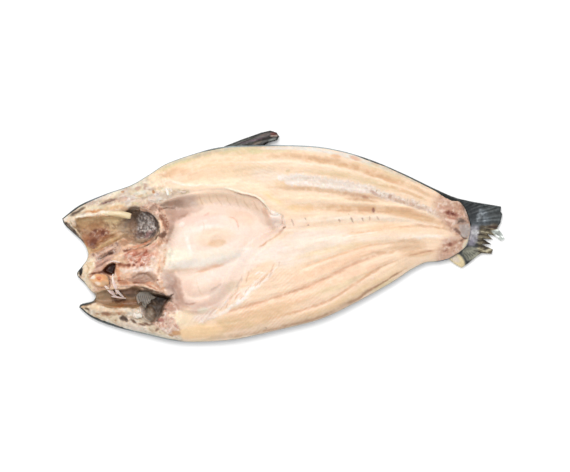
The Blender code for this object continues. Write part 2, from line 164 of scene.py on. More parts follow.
HEAD_RIDGES = [
    ([(-205, 37), (-188, 39.5), (-168, 41), (-150, 42), (-143, 42.5)], 4.5, 2.6),
    ([(-172, 37.5), (-155, 37), (-142, 35)], 3.2, 3.0),
    ([(-190, 46), (-160, 53), (-130, 60)], 6, 1.0),
    ([(-170, 47), (-155, 50.5)], 3, -1.6),
    ([(-184, 0), (-172, 6), (-158, 13), (-149, 13)], 3.5, 1.8),
    ([(-178, -6), (-170, -2), (-161, 2)], 3, -3.0),
    ([(-180, -10), (-168, -5), (-158, 0)], 3.5, 1.6),
    ([(-116, 32), (-112, 20), (-117, 8), (-126, 2), (-140, 0)], 4.5, 3.4),
    ([(-122, 2), (-119, -12), (-121, -24), (-117, -36)], 5.5, 2.2),
    ([(-158, -4), (-145, -2), (-130, 1)], 5.5, 3.0),
    ([(-157, -13), (-157, -27)], 4.5, 2.4),
    ([(-160, -30), (-146, -31), (-134, -32.5), (-118, -41)], 3.5, 3.2),
    ([(-192, -52), (-176, -54), (-158, -56), (-143, -55.5), (-136, -61)], 4, 2.2),
    ([(-185, -58), (-155, -68), (-120, -79)], 5.5, 1.0),
    ([(-113, -52), (-112, -63), (-106, -74)], 6, 1.8),
]
HEAD_LUMPS = [
    ((-186, -15), 11, 14, 0, 4.2), ((-194.5, -15.5), 3.2, 4.5, 0, -3.2), ((-175, -25), 9.5, 6.5, -25, 5.4),
    ((-130, -61), 6, 5, 0, 3.0), ((-143, -59), 5, 4.5, 0, 2.6), ((-102, -66), 8, 9, 0, 2.2),
    ((-131, 19), 11, 8, 20, 2.4), ((-134, -45), 9, 7, -40, 2.6),
]
LEAST_THICKNESS, LEAST_AT_EDGE = 2.2, 1.3


def curve_through(points, step):
    """Points about `step` apart on a smooth curve through the given ones."""
    p = np.array(points, float)
    p = np.vstack([2 * p[0] - p[1], p, 2 * p[-1] - p[-2]])
    runs = []
    for a, b, c, d in zip(p[:-3], p[1:-2], p[2:-1], p[3:]):
        t = np.arange(max(1, round(np.linalg.norm(c - b) / step)))[:, None]
        t = t / len(t)
        bend = (2 * a - 5 * b + 4 * c - d) * t**2 + (3 * b - a - 3 * c + d) * t**3
        runs.append(0.5 * (2 * b + (c - a) * t + bend))
    return np.vstack([*runs, p[-2:-1]])


def loop_through(points, step):
    return curve_through([*points, points[0]], step)[:-1]


def from_path(x, y, path, reach=1e9):
    """Distance of each point from a path, out to a reach, and how far along it lies, from 0 to 1."""
    away = np.full(x.shape, 1e9)
    along = np.zeros(x.shape)
    low, high = path.min(axis=0) - reach, path.max(axis=0) + reach
    near = np.flatnonzero((x > low[0]) & (x < high[0]) & (y > low[1]) & (y < high[1]))
    px, py = x[near], y[near]
    best, place = away[near], along[near]
    for i, (a, b) in enumerate(zip(path[:-1], path[1:])):
        run = b - a
        t = np.clip(((px - a[0]) * run[0] + (py - a[1]) * run[1]) / (run @ run), 0, 1)
        gap = np.hypot(px - a[0] - t * run[0], py - a[1] - t * run[1])
        nearer = gap < best
        best[nearer] = gap[nearer]
        place[nearer] = ((i + t) / (len(path) - 1))[nearer]
    away[near], along[near] = best, place
    return away, along


def depth_inside(x, y, ring, reach=1e9):
    """Distance from a closed loop, positive inside it."""
    loop = np.vstack([ring, ring[:1]])
    away, _ = from_path(x, y, loop, reach)
    within = np.zeros(x.shape, bool)
    for a, b in zip(loop[:-1], loop[1:]):
        if a[1] != b[1]:
            across = (a[1] > y) != (b[1] > y)
            within ^= across & (x < a[0] + (y - a[1]) * (b[0] - a[0]) / (b[1] - a[1]))
    return np.where(within, away, -away)


def ease(t):
    t = np.clip(t, 0, 1)
    return t * t * (3 - 2 * t)


def hump(t):
    return np.where(np.abs(t) < 1, (1 - t * t) ** 2, 0)


def band(x, y, points, half_width, height):
    """A long roll, or a groove, that dies away at its two ends."""
    away, along = from_path(x, y, curve_through(points, 4), half_width)
    return height * hump(away / half_width) * ease(np.minimum(along, 1 - along) / 0.12)


def lump(x, y, centre, half_length, half_width, turn, height):
    """A rounded mound, or a dimple, with an oval plan."""
    cos, sin = math.cos(math.radians(turn)), math.sin(math.radians(turn))
    dx, dy = x - centre[0], y - centre[1]
    return height * hump(np.hypot((dx * cos + dy * sin) / half_length, (dy * cos - dx * sin) / half_width))


def sink(x, y, z, ring, floor_height, wall):
    """Lowers the surface to a floor inside a loop, down a wall of the given width."""
    share = ease(depth_inside(x, y, ring, 20) / wall)
    return z + (np.minimum(floor_height, z) - z) * share


def rim_drop(x):
    return JAW_RIM_DROP * ease((HEAD_ENDS - x) / 80)


def under_height(x, depth):
    """The skin side: flat where it rests, curling up to the edge."""
    t = np.clip(depth / CURL, 0, 1)
    return (RIM_UNDER - rim_drop(x)) * (1 - np.sqrt(1 - (1 - t) ** 2))


def top_height(x, y, depth):
    """The flesh side: a rounded slab with its bands, the sunk cavity and the opened head."""
    profile = curve_through(THICKNESS, 4)
    full = np.interp(x, profile[:, 0], profile[:, 1])
    rim = RIM_TOP - rim_drop(x)
    t = np.clip(depth / SHOULDER, 0, 1)
    z = rim + (full - rim) * np.sqrt(1 - (1 - t) ** 2)
    z = z + GIVE * sum(band(x, y, *shape) for shape in BANDS) * ease(3 * t)

    turn = ease((y - CAVITY_WALL_TURNS[0]) / (CAVITY_WALL_TURNS[1] - CAVITY_WALL_TURNS[0]))
    wall = CAVITY_WALLS[1] + (CAVITY_WALLS[0] - CAVITY_WALLS[1]) * turn
    ground = CAVITY_FLOOR + sum(lump(x, y, *shape) for shape in MOUNDS) + band(x, y, *CAVITY_TROUGH)
    z = sink(x, y, z, curve_through(CAVITY, 2)[:-1], ground, wall) + GIVE * band(x, y, *CAVITY_CREASE)

    z = z + sum(band(x, y, *shape) for shape in HEAD_RIDGES) * ease(3 * t)
    for ring, level, width in HOLLOWS:
        z = sink(x, y, z, loop_through(ring, 2), level, width)
    z = z + sum(lump(x, y, *shape) for shape in HEAD_LUMPS) * ease(3 * t)
    least = LEAST_AT_EDGE + (LEAST_THICKNESS - LEAST_AT_EDGE) * ease(t)
    return np.maximum(z, under_height(x, depth) + least)


def ripple(x, y, size, seed=0.0):
    """An uneven swell of the given size, from -1 to 1, the same at every run."""
    gx, gy = x / size + seed * 3.7, y / size - seed * 1.9
    ix, iy = np.floor(gx), np.floor(gy)
    fx, fy = ease(gx - ix), ease(gy - iy)

    def knot(i, j):
        v = np.sin(i * 127.1 + j * 311.7 + seed * 74.7) * 43758.5453
        return 2 * (v - np.floor(v)) - 1

    low = knot(ix, iy) * (1 - fx) + knot(ix + 1, iy) * fx
    high = knot(ix, iy + 1) * (1 - fx) + knot(ix + 1, iy + 1) * fx
    return low * (1 - fy) + high * fy


def inset(ring, away):
    """A loop moved inwards, by one distance or by one for each of its points."""
    run = np.roll(ring, -1, axis=0) - np.roll(ring, 1, axis=0)
    side = np.column_stack([run[:, 1], -run[:, 0]]) / np.linalg.norm(run, axis=1)[:, None]
    return ring + side * np.reshape(away, (-1, 1))


def lattice(low, high, step):
    """Staggered rows of points over a box, as the corners of triangles with equal sides."""
    row_step = 0.866 * step
    points = []
    for i, row in enumerate(np.arange(low[1], high[1], row_step)):
        across = np.arange(low[0] + (i % 2) * step / 2, high[0], step)
        points.append(np.column_stack([across, np.full(len(across), row)]))
    return np.vstack(points)


def web(ring, inner):
    """Triangles that fill a loop, through the inner points."""
    count = len(ring)
    edges = [(i, (i + 1) % count) for i in range(count)]
    made = delaunay_2d_cdt([tuple(p) for p in np.vstack([ring, inner])], edges, [], 1, 1e-6)
    return np.array([tuple(p) for p in made[0]]), [tuple(face) for face in made[2]]


def two_sided(sheet, sheet_faces, edge, upper, lower):
    """Points and faces of a closed sheet, its two sides sewn together along the points of its edge."""
    kept = np.arange(edge, len(sheet))
    turned = {i: len(sheet) + k for k, i in enumerate(kept)}
    flip = [tuple(turned.get(i, i) for i in reversed(face)) for face in sheet_faces]
    points = np.vstack([np.column_stack([sheet, upper]), np.column_stack([sheet[kept], lower[kept]])])
    return points, sheet_faces + flip, kept


def mesh_piece(name, points, faces, material):
    """A smooth mesh from points in millimetres, with its faces turned out, riding on the fish."""
    mesh = bpy.data.meshes.new(name)
    mesh.from_pydata([tuple(p) for p in np.asarray(points) * MM], [], faces)
    mesh.materials.append(material)
    work = bmesh.new()
    work.from_mesh(mesh)
    bmesh.ops.recalc_face_normals(work, faces=work.faces)
    work.to_mesh(mesh)
    work.free()
    mesh.shade_smooth()
    made = bpy.data.objects.new(name, mesh)
    bpy.context.scene.collection.objects.link(made)
    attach(made, "root")
    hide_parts(FISH)
    return made


def paint(made, name, tints):
    """Writes one colour for each point of a mesh, from screen values to light values."""
    tints = np.clip(tints, 0, 1)
    light = np.where(tints <= 0.04045, tints / 12.92, ((tints + 0.055) / 1.055) ** 2.4)
    layer = made.data.color_attributes.new(name, "FLOAT_COLOR", "POINT")
    layer.data.foreach_set("color", np.column_stack([light, np.ones(len(light))]).astype(np.float32).ravel())


def shade(code):
    return np.array([int(code[i:i + 2], 16) for i in (0, 2, 4)]) / 255


class Dresser:
    """Lays colours and low relief on a set of points, one stroke of a brush or a knife at a time."""

    def __init__(self, x, y, ground, ragged=0.7):
        self.x = x + ragged * ripple(x, y, 6, 1) + 0.4 * ragged * ripple(x, y, 2.2, 2)
        self.y = y + ragged * ripple(x, y, 6, 3) + 0.4 * ragged * ripple(x, y, 2.2, 4)
        self.tint = np.tile(shade(ground), (len(x), 1))
        self.lift = np.zeros(len(x))
        self.grit = ripple(x, y, 1.9, 5) + 0.5 * ripple(x, y, 0.9, 8)
        self.gaps = 1 - 0.45 * ease(ripple(x, y, 3.3, 10) * 1.5)

    def lay(self, code, share, lift=0.0):
        share = np.clip(share, 0, 1)
        self.tint += (shade(code) - self.tint) * share[:, None]
        self.lift += lift * share

    def streak(self, code, path, half_width, share=0.8, lift=0.0, taper=0.3):
        """A long soft mark along a curve, thinner at its ends and uneven at its sides."""
        curve = curve_through(path, 2.5)
        away, along = from_path(self.x, self.y, curve, half_width * 1.7)
        ends = ease(np.minimum(along, 1 - along) / taper + 0.1) if taper else 1
        width = half_width * (0.5 + 0.5 * ends) * (1 + 0.42 * self.grit)
        self.lay(code, share * ease(1.25 - away / width) * (0.3 + 0.7 * ends) * self.gaps, lift)

    def blotch(self, code, centre, half_length, half_width, turn=0, share=0.8, lift=0.0, soft=0.7):
        """A rounded mark with an uneven edge."""
        cos, sin = math.cos(math.radians(turn)), math.sin(math.radians(turn))
        dx, dy = self.x - centre[0], self.y - centre[1]
        away = np.hypot((dx * cos + dy * sin) / half_length, (dy * cos - dx * sin) / half_width)
        self.lay(code, share * ease((1 + soft / 2 - away * (1 + 0.16 * self.grit)) / soft), lift)

    def zone(self, ring, soft=2.0):
        """How far each point is inside a loop with a soft edge, from 0 to 1."""
        return ease(0.5 + depth_inside(self.x, self.y, loop_through(ring, 3), soft) / soft)

    def patch(self, code, ring, soft=2.0, share=1.0, lift=0.0):
        """A field of colour with a soft edge, inside a loop."""
        self.lay(code, share * self.zone(ring, soft), lift)

    def mottle(self, code, size, seed, share, within, lift=0.0, rarity=0.0, turn=0, stretch=1.0):
        """Uneven flecks of a colour, of one size, strewn over a zone and drawn out along one direction."""
        cos, sin = math.cos(math.radians(turn)), math.sin(math.radians(turn))
        along, across = (self.x * cos + self.y * sin) / stretch, self.y * cos - self.x * sin
        fleck = ripple(along, across, size, seed) + 0.55 * ripple(along, across, size / 2.3, seed + 0.5)
        self.lay(code, share * within * ease((fleck - rarity) * 1.6), lift)

    def marks(self, *rows):
        """Marks laid in turn. After its colour, a streak gives a list of places, a blotch one place and a
        mottle the size of its flecks."""
        kinds = {list: self.streak, tuple: self.blotch}
        for code, where, *rest in rows:
            kinds.get(type(where), self.mottle)(code, where, *rest)


outline = np.vstack([curve_through(edge, 0.95)[:-1] for edge in (BACK_EDGE, TAIL_ROOT, LOWER_EDGE, JAW_EDGE)])
centre_x, centre_y = outline[:, 0], outline[:, 1]


def lip_width(x, y):
    """How far the cut edge of the skin reaches in over the flesh, by place round the fish."""
    back = np.interp(
        x, [-208, -196, -178, -160, -130, -72, -58, -44, 80, 84, 97, 102, 150, 160, 172],
        [0.8, 1.5, 1.3, 0.7, 0.6, 0.8, 1.6, 1.2, 1.0, 1.5, 1.5, 1.0, 1.6, 3.4, 4.4])
    lower = np.interp(
        x, [-199, -188, -170, -150, -110, -95, 150, 158], [1.1, 1.9, 2.4, 1.3, 1.4, 0.7, 0.6, 0.9]
    )
    return np.where(y > 26, back, np.where(y < -45, lower, 0.6))


lip = np.tile(lip_width(centre_x, centre_y), 3)
lip = np.convolve(lip, np.ones(9) / 9, "same")[len(outline):2 * len(outline)]
flesh_ring = inset(outline, lip)
HEAD_FINE, BODY_FINE, UNDER_FINE = 0.78, 1.0, 9.0
head_points = lattice((-209, -92), (HEAD_ENDS, 106), HEAD_FINE)
body_points = lattice((HEAD_ENDS + 0.4, -92), (182, 106), BODY_FINE)
grid = np.vstack([head_points, body_points])
grid = grid[depth_inside(grid[:, 0], grid[:, 1], flesh_ring) > 0.5]
top, top_faces = web(flesh_ring, grid)
x, y = top[:, 0], top[:, 1]
depth = np.maximum(depth_inside(x, y, outline), 0.3)
z = top_height(x, y, depth)
meat = Dresser(x, y, "fce4c9")
meat.grit *= 0.35 + 0.65 * np.maximum(ease((HEAD_ENDS + 4 - x) / 8), ease((x - 150) / 8))

# the back half, from its outer edge to the middle: fat, dark stripe, bundles and the sawn seam of the spine
meat.marks(
    ("f4e4c8", (-117, 65), 10, 5, 25, 0.85),
    ("e6c29d", [(-113, 69), (-102, 71), (-90, 72), (-76, 72.6)], 4.6, 0.85),
    ("f0d4ae", [(-112, 75), (-96, 79), (-78, 82)], 4.5, 0.8),
    ("e2cfaa", [(-85, 85), (-55, 88), (-20, 86.5), (15, 84)], 4.8, 0.9),
    ("f6d2ac", [(-92, 74), (-50, 78), (-10, 77)], 5, 0.75),
    ("f7d9b8", (-62, 66), 30, 6, 4, 0.7),
    ("fdf1d3", [(-96, 59), (-62, 60), (-36, 57), (-18, 50), (-6, 40), (2, 31), (20, 22)], 5.5, 0.7),
    ("f0dcb8", (-28, 68), 28, 7, -4, 0.4),
    ("efe2d4", (-8, 62), 15, 6, -10, 0.55),
    # painted highlight: the near-white streak along the ridge below the back's pale bundles
    ("fff6ea", [(-114, 61), (-104, 64.4), (-95, 62), (-85, 58.6), (-68, 57.6), (-50, 57)], 1.3, 0.8, 0.35),
    ("ffe4b4", [(-16, 47), (-5, 40), (4, 32)], 3.2, 0.7),
    ("eecfa8", (4, 53), 7, 4, -20, 0.6),
    ("e2c09a", [(-30, 81.5), (0, 80.5), (22, 78), (50, 71.5), (75, 63), (92, 56.5), (112, 47.5), (132, 38),
     (150, 27)], 4.2, 0.9),
    ("cda27a", [(8, 79.5), (22, 77.6), (40, 73.5), (66, 66), (92, 56), (118, 45)], 2.2, 0.5),
    ("dcb18a", [(84, 56), (100, 50), (118, 42.6)], 2.4, 0.7),
    ("f0d6ae", [(60, 72), (85, 64), (105, 54.5), (130, 42)], 1.5, 0.6),
    ("e9ebe6", [(-8, 87.4), (25, 85.2), (55, 79), (85, 68), (112, 54.8)], 2.6, 0.9),
    ("dcd2a6", [(-121, 71), (-100, 79), (-75, 85.6), (-50, 89.4), (-22, 88.4)], 3.4, 0.85),
    ("d6bda6", [(-80, 84), (-70, 86), (-56, 88.4), (-48, 89)], 1.8, 0.75),
    ("dfd7ac", (-18, 85.6), 9, 2.2, -2, 0.8),
    ("ece5df", [(-14, 88.6), (0, 87.6), (16, 86.4)], 1.5, 0.85),
    ("e6dcb6", [(-10, 84.6), (4, 84), (20, 82.8)], 1.2, 0.7),
    ("c9c49a", 7.0, 20, 0.3, ease((y - 78) / 6) * ease((8 - x) / 20) * ease((x + 116) / 16)),
    ("e2b49a", (76, 71.5), 6, 1.7, -24, 0.8),
    ("ecc3a0", (57, 75.5), 5, 2, -12, 0.8),
    ("dfc49b", (94, 64), 5, 1.4, -27, 0.7),
    ("feedd6", [(-55, 78), (-20, 76), (10, 74), (30, 70.3), (55, 64.7), (80, 56.3), (105, 46), (130, 35.5),
     (146, 26.5)], 1.6, 0.85, 0.25),
    ("e9d4af", [(28, 63.5), (60, 57.5), (82, 51), (102, 43.5), (122, 36)], 4, 0.8),
    ("d9c7a4", (10, 65), 2.2, 1.5, 0, 0.6),
    ("ddb790", [(96, 45), (110, 41), (128, 33), (145, 24.5)], 1.8, 0.7),
    ("dccfae", [(78, 70), (95, 62), (110, 54), (124, 45.6)], 2.4, 0.55),
    ("dbb896", [(126, 42), (140, 34), (152, 27)], 2.6, 0.55),
    ("e0ba96", [(-110, 69), (-100, 72), (-88, 74)], 3.6, 0.45),
)

# the seam of the spine: a pale frill with teeth, and small dark holes where its ribs were
seam = curve_through([(4, 59), (20, 55.5), (36, 52.5), (50, 49), (66, 45.5), (82, 42), (96, 36.5),
    (110, 30.5), (125, 25.5), (140, 18.5), (154, 11)], 2)
away, along = from_path(meat.x, meat.y, seam, 12)
teeth = np.abs(((along * 31 + 0.3 * ripple(x, y, 8, 11)) % 1) - 0.5) * 2
reach = np.interp(along, [0, 0.1, 0.4, 0.62, 1], [3.5, 6.4, 5.6, 3.8, 3.0])
reach = reach + 1.3 * (teeth - 0.5) + 1.1 * ripple(x, y, 2.4, 9)
frill = ease((reach - away) / 2.2 + 0.4) * (away < 12)
meat.lay("efe7de", 0.9 * frill, 0.2)
meat.marks(
    ("dfd0c6", 2.2, 12, 0.5, frill, -0.2, 0.1),
    ("fffdf8", 1.8, 13, 0.6, frill, 0.25, 0.2),
)
meat.lay("c9b1a3", 0.45 * ease(0.5 + (0.22 - teeth) * 3) * ease((4.0 - away) / 2) * ease(along * 4 - 1.6))
meat.lay("dcc3ac", 0.5 * frill * ease(along * 5 - 2.9))
meat.mottle("fbf6f0", 1.5, 26, 0.75, frill * ease(along * 5 - 2.6), 0.3, 0.15)
for i in range(17):
    place = seam[min(len(seam) - 1, int(len(seam) * (0.54 + 0.026 * i)))]
    meat.blotch("ab8d78", place + (0.6, 1.5 if i % 2 else -1.6), 0.9, 0.6, 30, 0.6, -0.2)
meat.marks(
    # painted glints: two short near-white strokes on the seam
    ("fffaf2", [(80, 46), (84, 44.6), (87.6, 46.6)], 0.6, 0.8, 0.3),
    ("fffaf2", [(84, 44.6), (85.4, 41), (88, 38.6)], 0.6, 0.8, 0.3),
    ("dfc0a0", [(-8, 50.5), (10, 48.3), (32, 45.8), (56, 41), (80, 35.5), (96, 31.5), (108, 26.5)], 3.0, 0.9),
    ("cba58a", [(58, 41), (78, 35.8), (97, 31)], 1.7, 0.6),
    ("b68a72", (82, 33.5), 3.2, 1.8, -20, 0.8, -0.2),
    ("c0a091", (91, 37), 5, 1.6, -30, 0.7),
    ("b59484", (105, 33), 1.6, 2.2, 0, 0.7),
    ("c6a792", [(96, 33.4), (110, 29.6), (126, 23.6), (144, 16)], 2.0, 0.75),
    ("cba283", [(66, 34.6), (80, 30.8), (94, 27.2)], 1.9, 0.75),
    ("ffeccf", [(-4, 40), (20, 38.5), (50, 35), (75, 31), (100, 26.3), (125, 19.7), (152, 9)],
     2.8, 0.85, 0.2),
    ("d0a885", [(62, 35), (80, 31.6), (94, 28)], 1.7, 0.7),
    ("f8daac", [(6, 30), (20, 28.5), (36, 28)], 4, 0.8),
    ("e0ba93", [(20, 29), (50, 26.6), (75, 23.6), (100, 20), (120, 15.6), (140, 9), (162, 0)], 4.6, 0.9),
    ("e3c09a", (124, 14), 20, 3.6, -20, 0.7),
    ("d9ad8a", [(100, 24.2), (120, 20.4), (138, 13.6)], 2.0, 0.7),
    ("d3a583", [(50, 24.5), (80, 22), (108, 18)], 1.4, 0.45),
    ("95685a", (88.6, 21.2), 1.2, 2.3, 10, 0.85, -0.4),
    ("f7ead8", [(10, 17.5), (30, 17), (60, 15.7), (88, 14.4), (112, 11.4), (138, 5)], 3.4, 0.9),
)
for root, tip in (
    ((10, 19.6), (12, 12)), ((23, 19), (24, 17)), ((26, 13), (27, 11.5)), ((54.5, 16), (56.5, 12.5)),
    ((66, 16), (69, 11)), ((77, 16), (78.5, 12)), ((85, 16.5), (84.5, 12)), ((91, 15.5), (93, 12)),
    ((64, 20.5), (65, 18.8)),
):
    bend = ((root[0] + tip[0]) / 2 + 0.2, (root[1] + tip[1]) / 2)
    meat.streak("a58a7c", [root, bend, tip], 0.75, 0.85, -0.35, 0.3)
meat.streak("f7dcc0", [(5, 10.4), (50, 10), (88, 9.6)], 0.6, 0.75, -0.2)

# the middle: the flat plateau over the belly skin, and the bright ridge that runs to the tail
meat.marks(
    ("feeede", [(-6, -6), (14, 3), (40, 5), (62, 5)], 6, 0.7),
    ("fcdab6", [(78, 5), (104, 4.5), (130, 1.5)], 4.6, 0.8),
    ("f1c7a2", [(18, -3), (46, 0.2), (80, 1.4), (106, 1.6)], 0.9, 0.7, -0.25),
)
meat.patch("fff4ee", [(-24, -14), (-4, 0), (20, 7), (60, 4), (60, -6), (30, -14), (4, -24)], 6, 0.5)
meat.patch("fff6ec", [(-10, -20), (0, -10), (30, -4), (60, -4), (62, -12), (30, -19), (0, -27)], 6, 0.45)
meat.marks(
    ("f6e4d6", (12, 13), 14, 6, 0, 0.4),
    # painted highlight: a thin near-white line along the plateau
    ("fffaf0", [(54, -1.8), (74, -0.8), (92, 1)], 0.8, 0.85, 0.25),
    ("dcb693", [(112, 4.2), (130, 3.2), (150, 0), (164, -4)], 1.6, 0.75),
    ("c79d80", [(128, 4.4), (138, 2.8), (150, 0)], 0.7, 0.6),
    ("feeedc", [(2, -14), (20, -9.5), (42, -7), (62, -5.5), (100, -5), (125, -6.5), (160, -9)], 3.6, 0.8),
    # painted highlight: the brightest part of the ridge that runs to the tail
    ("fff7ec", [(122, -6.6), (140, -7.6), (156, -8.8)], 1.6, 0.85, 0.25),
    ("ffe8c4", [(6, -20), (25, -15.5), (50, -12.2), (72, -11), (92, -8.6)], 3.4, 0.85),
)
for i in range(7):
    path = [(11 + 3 * i, -24.5 + i * 0.7), (15 + 3 * i, -17 + i * 0.5), (13.5 + 3 * i, -11)]
    meat.streak("fff2dc", path, 0.55, 0.6, 0.15)

# the lower half: long bundles between brown seams, crossed by fine slanting fibres
meat.marks(
    ("eebf98", [(10, -31), (30, -24.5), (50, -19), (70, -14), (88, -11.6), (106, -10.6)], 1.4, 0.65),
    ("e4c5a5", (119, -15), 17, 6, -3, 0.8),
    ("fcd7b7", [(-4, -38), (25, -34), (50, -27), (75, -20), (96, -15.5)], 5, 0.75),
    ("efc8a4", [(-78, -74), (-60, -66), (-20, -57), (22, -46.5), (60, -31.5), (95, -20.5)], 3.6, 0.55),
    ("d3a184", [(-74, -69.5), (-58, -64), (-38, -60), (-20, -56), (2, -50.6), (25, -44.6), (42, -38),
     (60, -30.8), (75, -25.2), (95, -20.4), (112, -18)], 1.6, 0.6),
    ("fbd0b0", [(8, -45), (40, -44), (72, -36), (98, -28)], 3.8, 0.6),
    ("efc9a6", [(-12, -61), (10, -58), (34, -52)], 3.6, 0.6),
    ("efddb7", [(16, -58), (36, -51), (60, -45), (86, -35)], 3.6, 0.65),
    ("cf9c78", [(-24, -74), (0, -70.6), (20, -66.3), (40, -60.3), (60, -50.3), (80, -39), (96, -31.3),
     (116, -24.5)], 1.6, 0.6),
    ("f3d7af", [(-10, -78), (30, -71), (60, -59), (90, -44.5), (120, -33.5)], 3.8, 0.8),
    ("e4c198", (-34, -71), 42, 8, 12, 0.65),
    ("d3bd90", 8.0, 24, 0.4, ease((-66 - y) / 8) * ease((20 - x) / 20) * ease((x + 104) / 10), 0, 0, 14, 2.4),
    ("fadcb0", (-88, -80.5), 24, 6.5, 0, 0.9),
    ("d2b593", [(-80, -88), (-40, -86.5), (0, -81), (35, -74), (66, -61), (95, -47)], 2.8, 0.7),
    # painted shade: the brown lines in the groove just inside the lower edge
    ("b08a6a", [(-52, -88.4), (-20, -84.8), (5, -81), (30, -76), (55, -66.8), (76, -56.6), (95, -46.4),
     (112, -37.6)], 1.7, 0.7),
    ("a97f5f", [(74, -57), (88, -49.6), (104, -41.6), (116, -36)], 1.0, 0.7),
    ("ecdfb8", (93, -50.4), 12, 2.2, 27, 0.85),
    ("e6cdb2", (50, -68.6), 9, 1.6, 20, 0.8),
    ("fdeadb", (82.5, -42.3), 1.6, 1.3, 0, 0.8, 0.2),
    ("9f8a72", (-22, -82), 0.9, 0.9, 0, 0.8),
    ("e3c09c", (128, -23), 14, 3.2, 0, 0.7),
    ("c7967a", [(118, -24.5), (134, -22), (148, -21)], 1.1, 0.6),
)
for path, width in (
    ([(-118, 74.4), (-100, 80.4), (-84, 84.6), (-66, 88.2), (-50, 90.6), (-30, 91.2), (-12, 90.6)], 1.9),
    ([(78, 73), (100, 62.4), (115, 54.6), (130, 46), (147, 35)], 1.8),
):
    meat.streak("c3bfae", path, width, 0.65)
meat.streak("d8b18c", [(84, -18.5), (96, -19.8), (108, -19)], 2.0, 0.6)
lower_fibres = ease((-20 - y) / 12) * ease((x + 62) / 12) * ease((60 - x) / 50)
lower_fibres = lower_fibres * (0.35 + 0.65 * ease(0.5 + ripple(x, y, 14, 14)))
back_fibres = ease((y - 22) / 10) * ease((x + 70) / 20) * ease((120 - x) / 30)
back_fibres = back_fibres * (0.2 + 0.8 * ease(ripple(x, y, 13, 15)))
for slant, pitch, seed, zone, dark, dark_share, light, light_share, swell in (
    (38, 2.7, 6, lower_fibres, "eeb794", 0.26, "fff0e2", 0.28, 0.12),
    (-32, 2.9, 7, back_fibres, "e8c49c", 0.16, "fffaf0", 0.16, 0.1),
):
    across = meat.x * math.sin(math.radians(slant)) - meat.y * math.cos(math.radians(slant))
    fibre = np.sin(across * 2 * math.pi / pitch + 1.3 * ripple(x, y, 9, seed))
    meat.lay(dark, dark_share * zone * ease(fibre))
    meat.lay(light, light_share * zone * ease(-fibre), swell)
# white streaks along the lower edge of the belly: pale fibres, with a painted highlight along that edge
for path, width in (
    ([(-74, -69), (-60, -63.5), (-50, -57), (-40, -50), (-32, -45), (-24, -41), (-14, -34)], 2.2),
    ([(-52, -60), (-44, -55), (-34, -50)], 1.8), ([(-86, -73), (-74, -68), (-64, -66)], 1.6),
    ([(-30, -31), (-24, -29), (-18, -30)], 0.9), ([(-64, -61), (-56, -52), (-52, -47)], 0.9),
):
    meat.streak("fffaf4", path, width, 0.95, 0.35)
for i in range(46):
    root = np.array((-86 + 1.62 * i + 1.2 * math.sin(4.1 * i), -74 + 0.92 * i + 2.2 * math.sin(2.7 * i)))
    code = ("fffaf5", "e0b498", "fdf0e6")[i % 3]
    long = 0.8 + 0.35 * math.sin(1.7 * i)
    path = [root, root + (4.4 * long, 5.0 * long), root + (10.5 * long, 10 * long)]
    meat.streak(code, path, 0.7, 0.75, (0.25, -0.2, 0.2)[i % 3])
for path in (
    [(-33.5, -26), (-35.5, -32), (-38, -38)], [(-43, -36), (-45, -41), (-46, -45)],
    [(-9, -21), (-11.5, -26), (-14, -31)], [(-31, -24), (-31.5, -27)], [(-4, -20), (-6, -25)],
    [(-40, -33), (-42, -38)],
):
    meat.streak("d2a88c", path, 0.8, 0.65, -0.2)

# the belly: a smooth membrane over the sunk wall, grey at its ends, with painted shade in the trough at its
# lower end and its brim cut ragged
belly = curve_through(CAVITY, 2)[:-1]
in_belly = depth_inside(x, y, belly, 20)
brim = ease(0.5 + (in_belly + 0.5 * ripple(x, y, 3, 12)) / np.where(y > 8, 1.6, 9.0))
meat.lay("fde8d8", brim)
# painted light: pale cream over the steep upper wall under the brim, offsetting the shade it falls in
meat.marks(
    ("ffe6cc", (-58, 45), 40, 8, -2, 0.95),
    ("fbe3cb", [(-66, 47), (-44, 44), (-28, 38), (-16, 29), (-12, 22)], 6.5, 0.9),
    ("fbe8dc", [(-80, 37), (-55, 38), (-34, 35)], 3.6, 0.7),
)
for i in range(16):
    root = np.array((-80 + 4.3 * i, 50.5 - 0.055 * i * i))
    meat.streak("d8b798" if i % 2 else "f3e0cd", [root, root + (1, -6), root + (4.5, -12)], 0.75, 0.5, 0.0)
meat.marks(
    ("fde6d0", [(-88, 51.3), (-60, 51.6), (-42, 48), (-28, 43.6), (-18, 39), (-12.5, 32), (-9.5, 26)],
     1.9, 0.8),
    ("f7dfc8", [(-92, 52.6), (-76, 53.2), (-60, 53.4), (-48, 52)], 1.3, 0.8),
    # painted shadow: the thin brown-red line under the lip of the brim
    ("b07f6a", [(-42, 49), (-38, 47.4), (-27, 44.6), (-18, 40), (-13, 34.5), (-10, 29)], 0.7, 0.8),
)
brim_roll = ease((in_belly - 0.4) / 2.6) * ease((15 - in_belly) / 13) * ease((y - 8) / 12)
meat.lift += (6.6 + 0.8 * ease((-60 - x) / 20)) * brim_roll
meat.lift += 2.6 * ease(in_belly / 2.5) * ease((9 - in_belly) / 6) * ease((y - 20) / 12) * ease((-30 - x) / 20)
meat.lift += band(x, y, *CAVITY_TROUGH[:2], 2.2) + band(x, y, *CAVITY_CREASE[:2], 0.9)
meat.lift += 7.2 * ease(in_belly / 3) * meat.zone([(-14, 30), (-8, 30), (3, 28), (7, 20), (4, 9), (-6, 11),
    (-11, 18)], 7)
meat.lift += band(x, y, [(-120, -15), (-92, -15), (-62, -12.6), (-30, -2)], 11, 2.4)
meat.patch("d5b3a1", [(-117, 40), (-98, 38), (-82, 36.5), (-86, 31), (-97, 27), (-105, 16), (-110, 5),
    (-116, 8), (-111, 25)], 6, 0.85)
meat.patch("bf9f90", [(-113, 4), (-108, 11), (-104.6, 18), (-98.4, 25), (-92, 30), (-88, 34), (-94, 37),
    (-103, 34), (-108, 26), (-110, 15)], 5, 0.5)
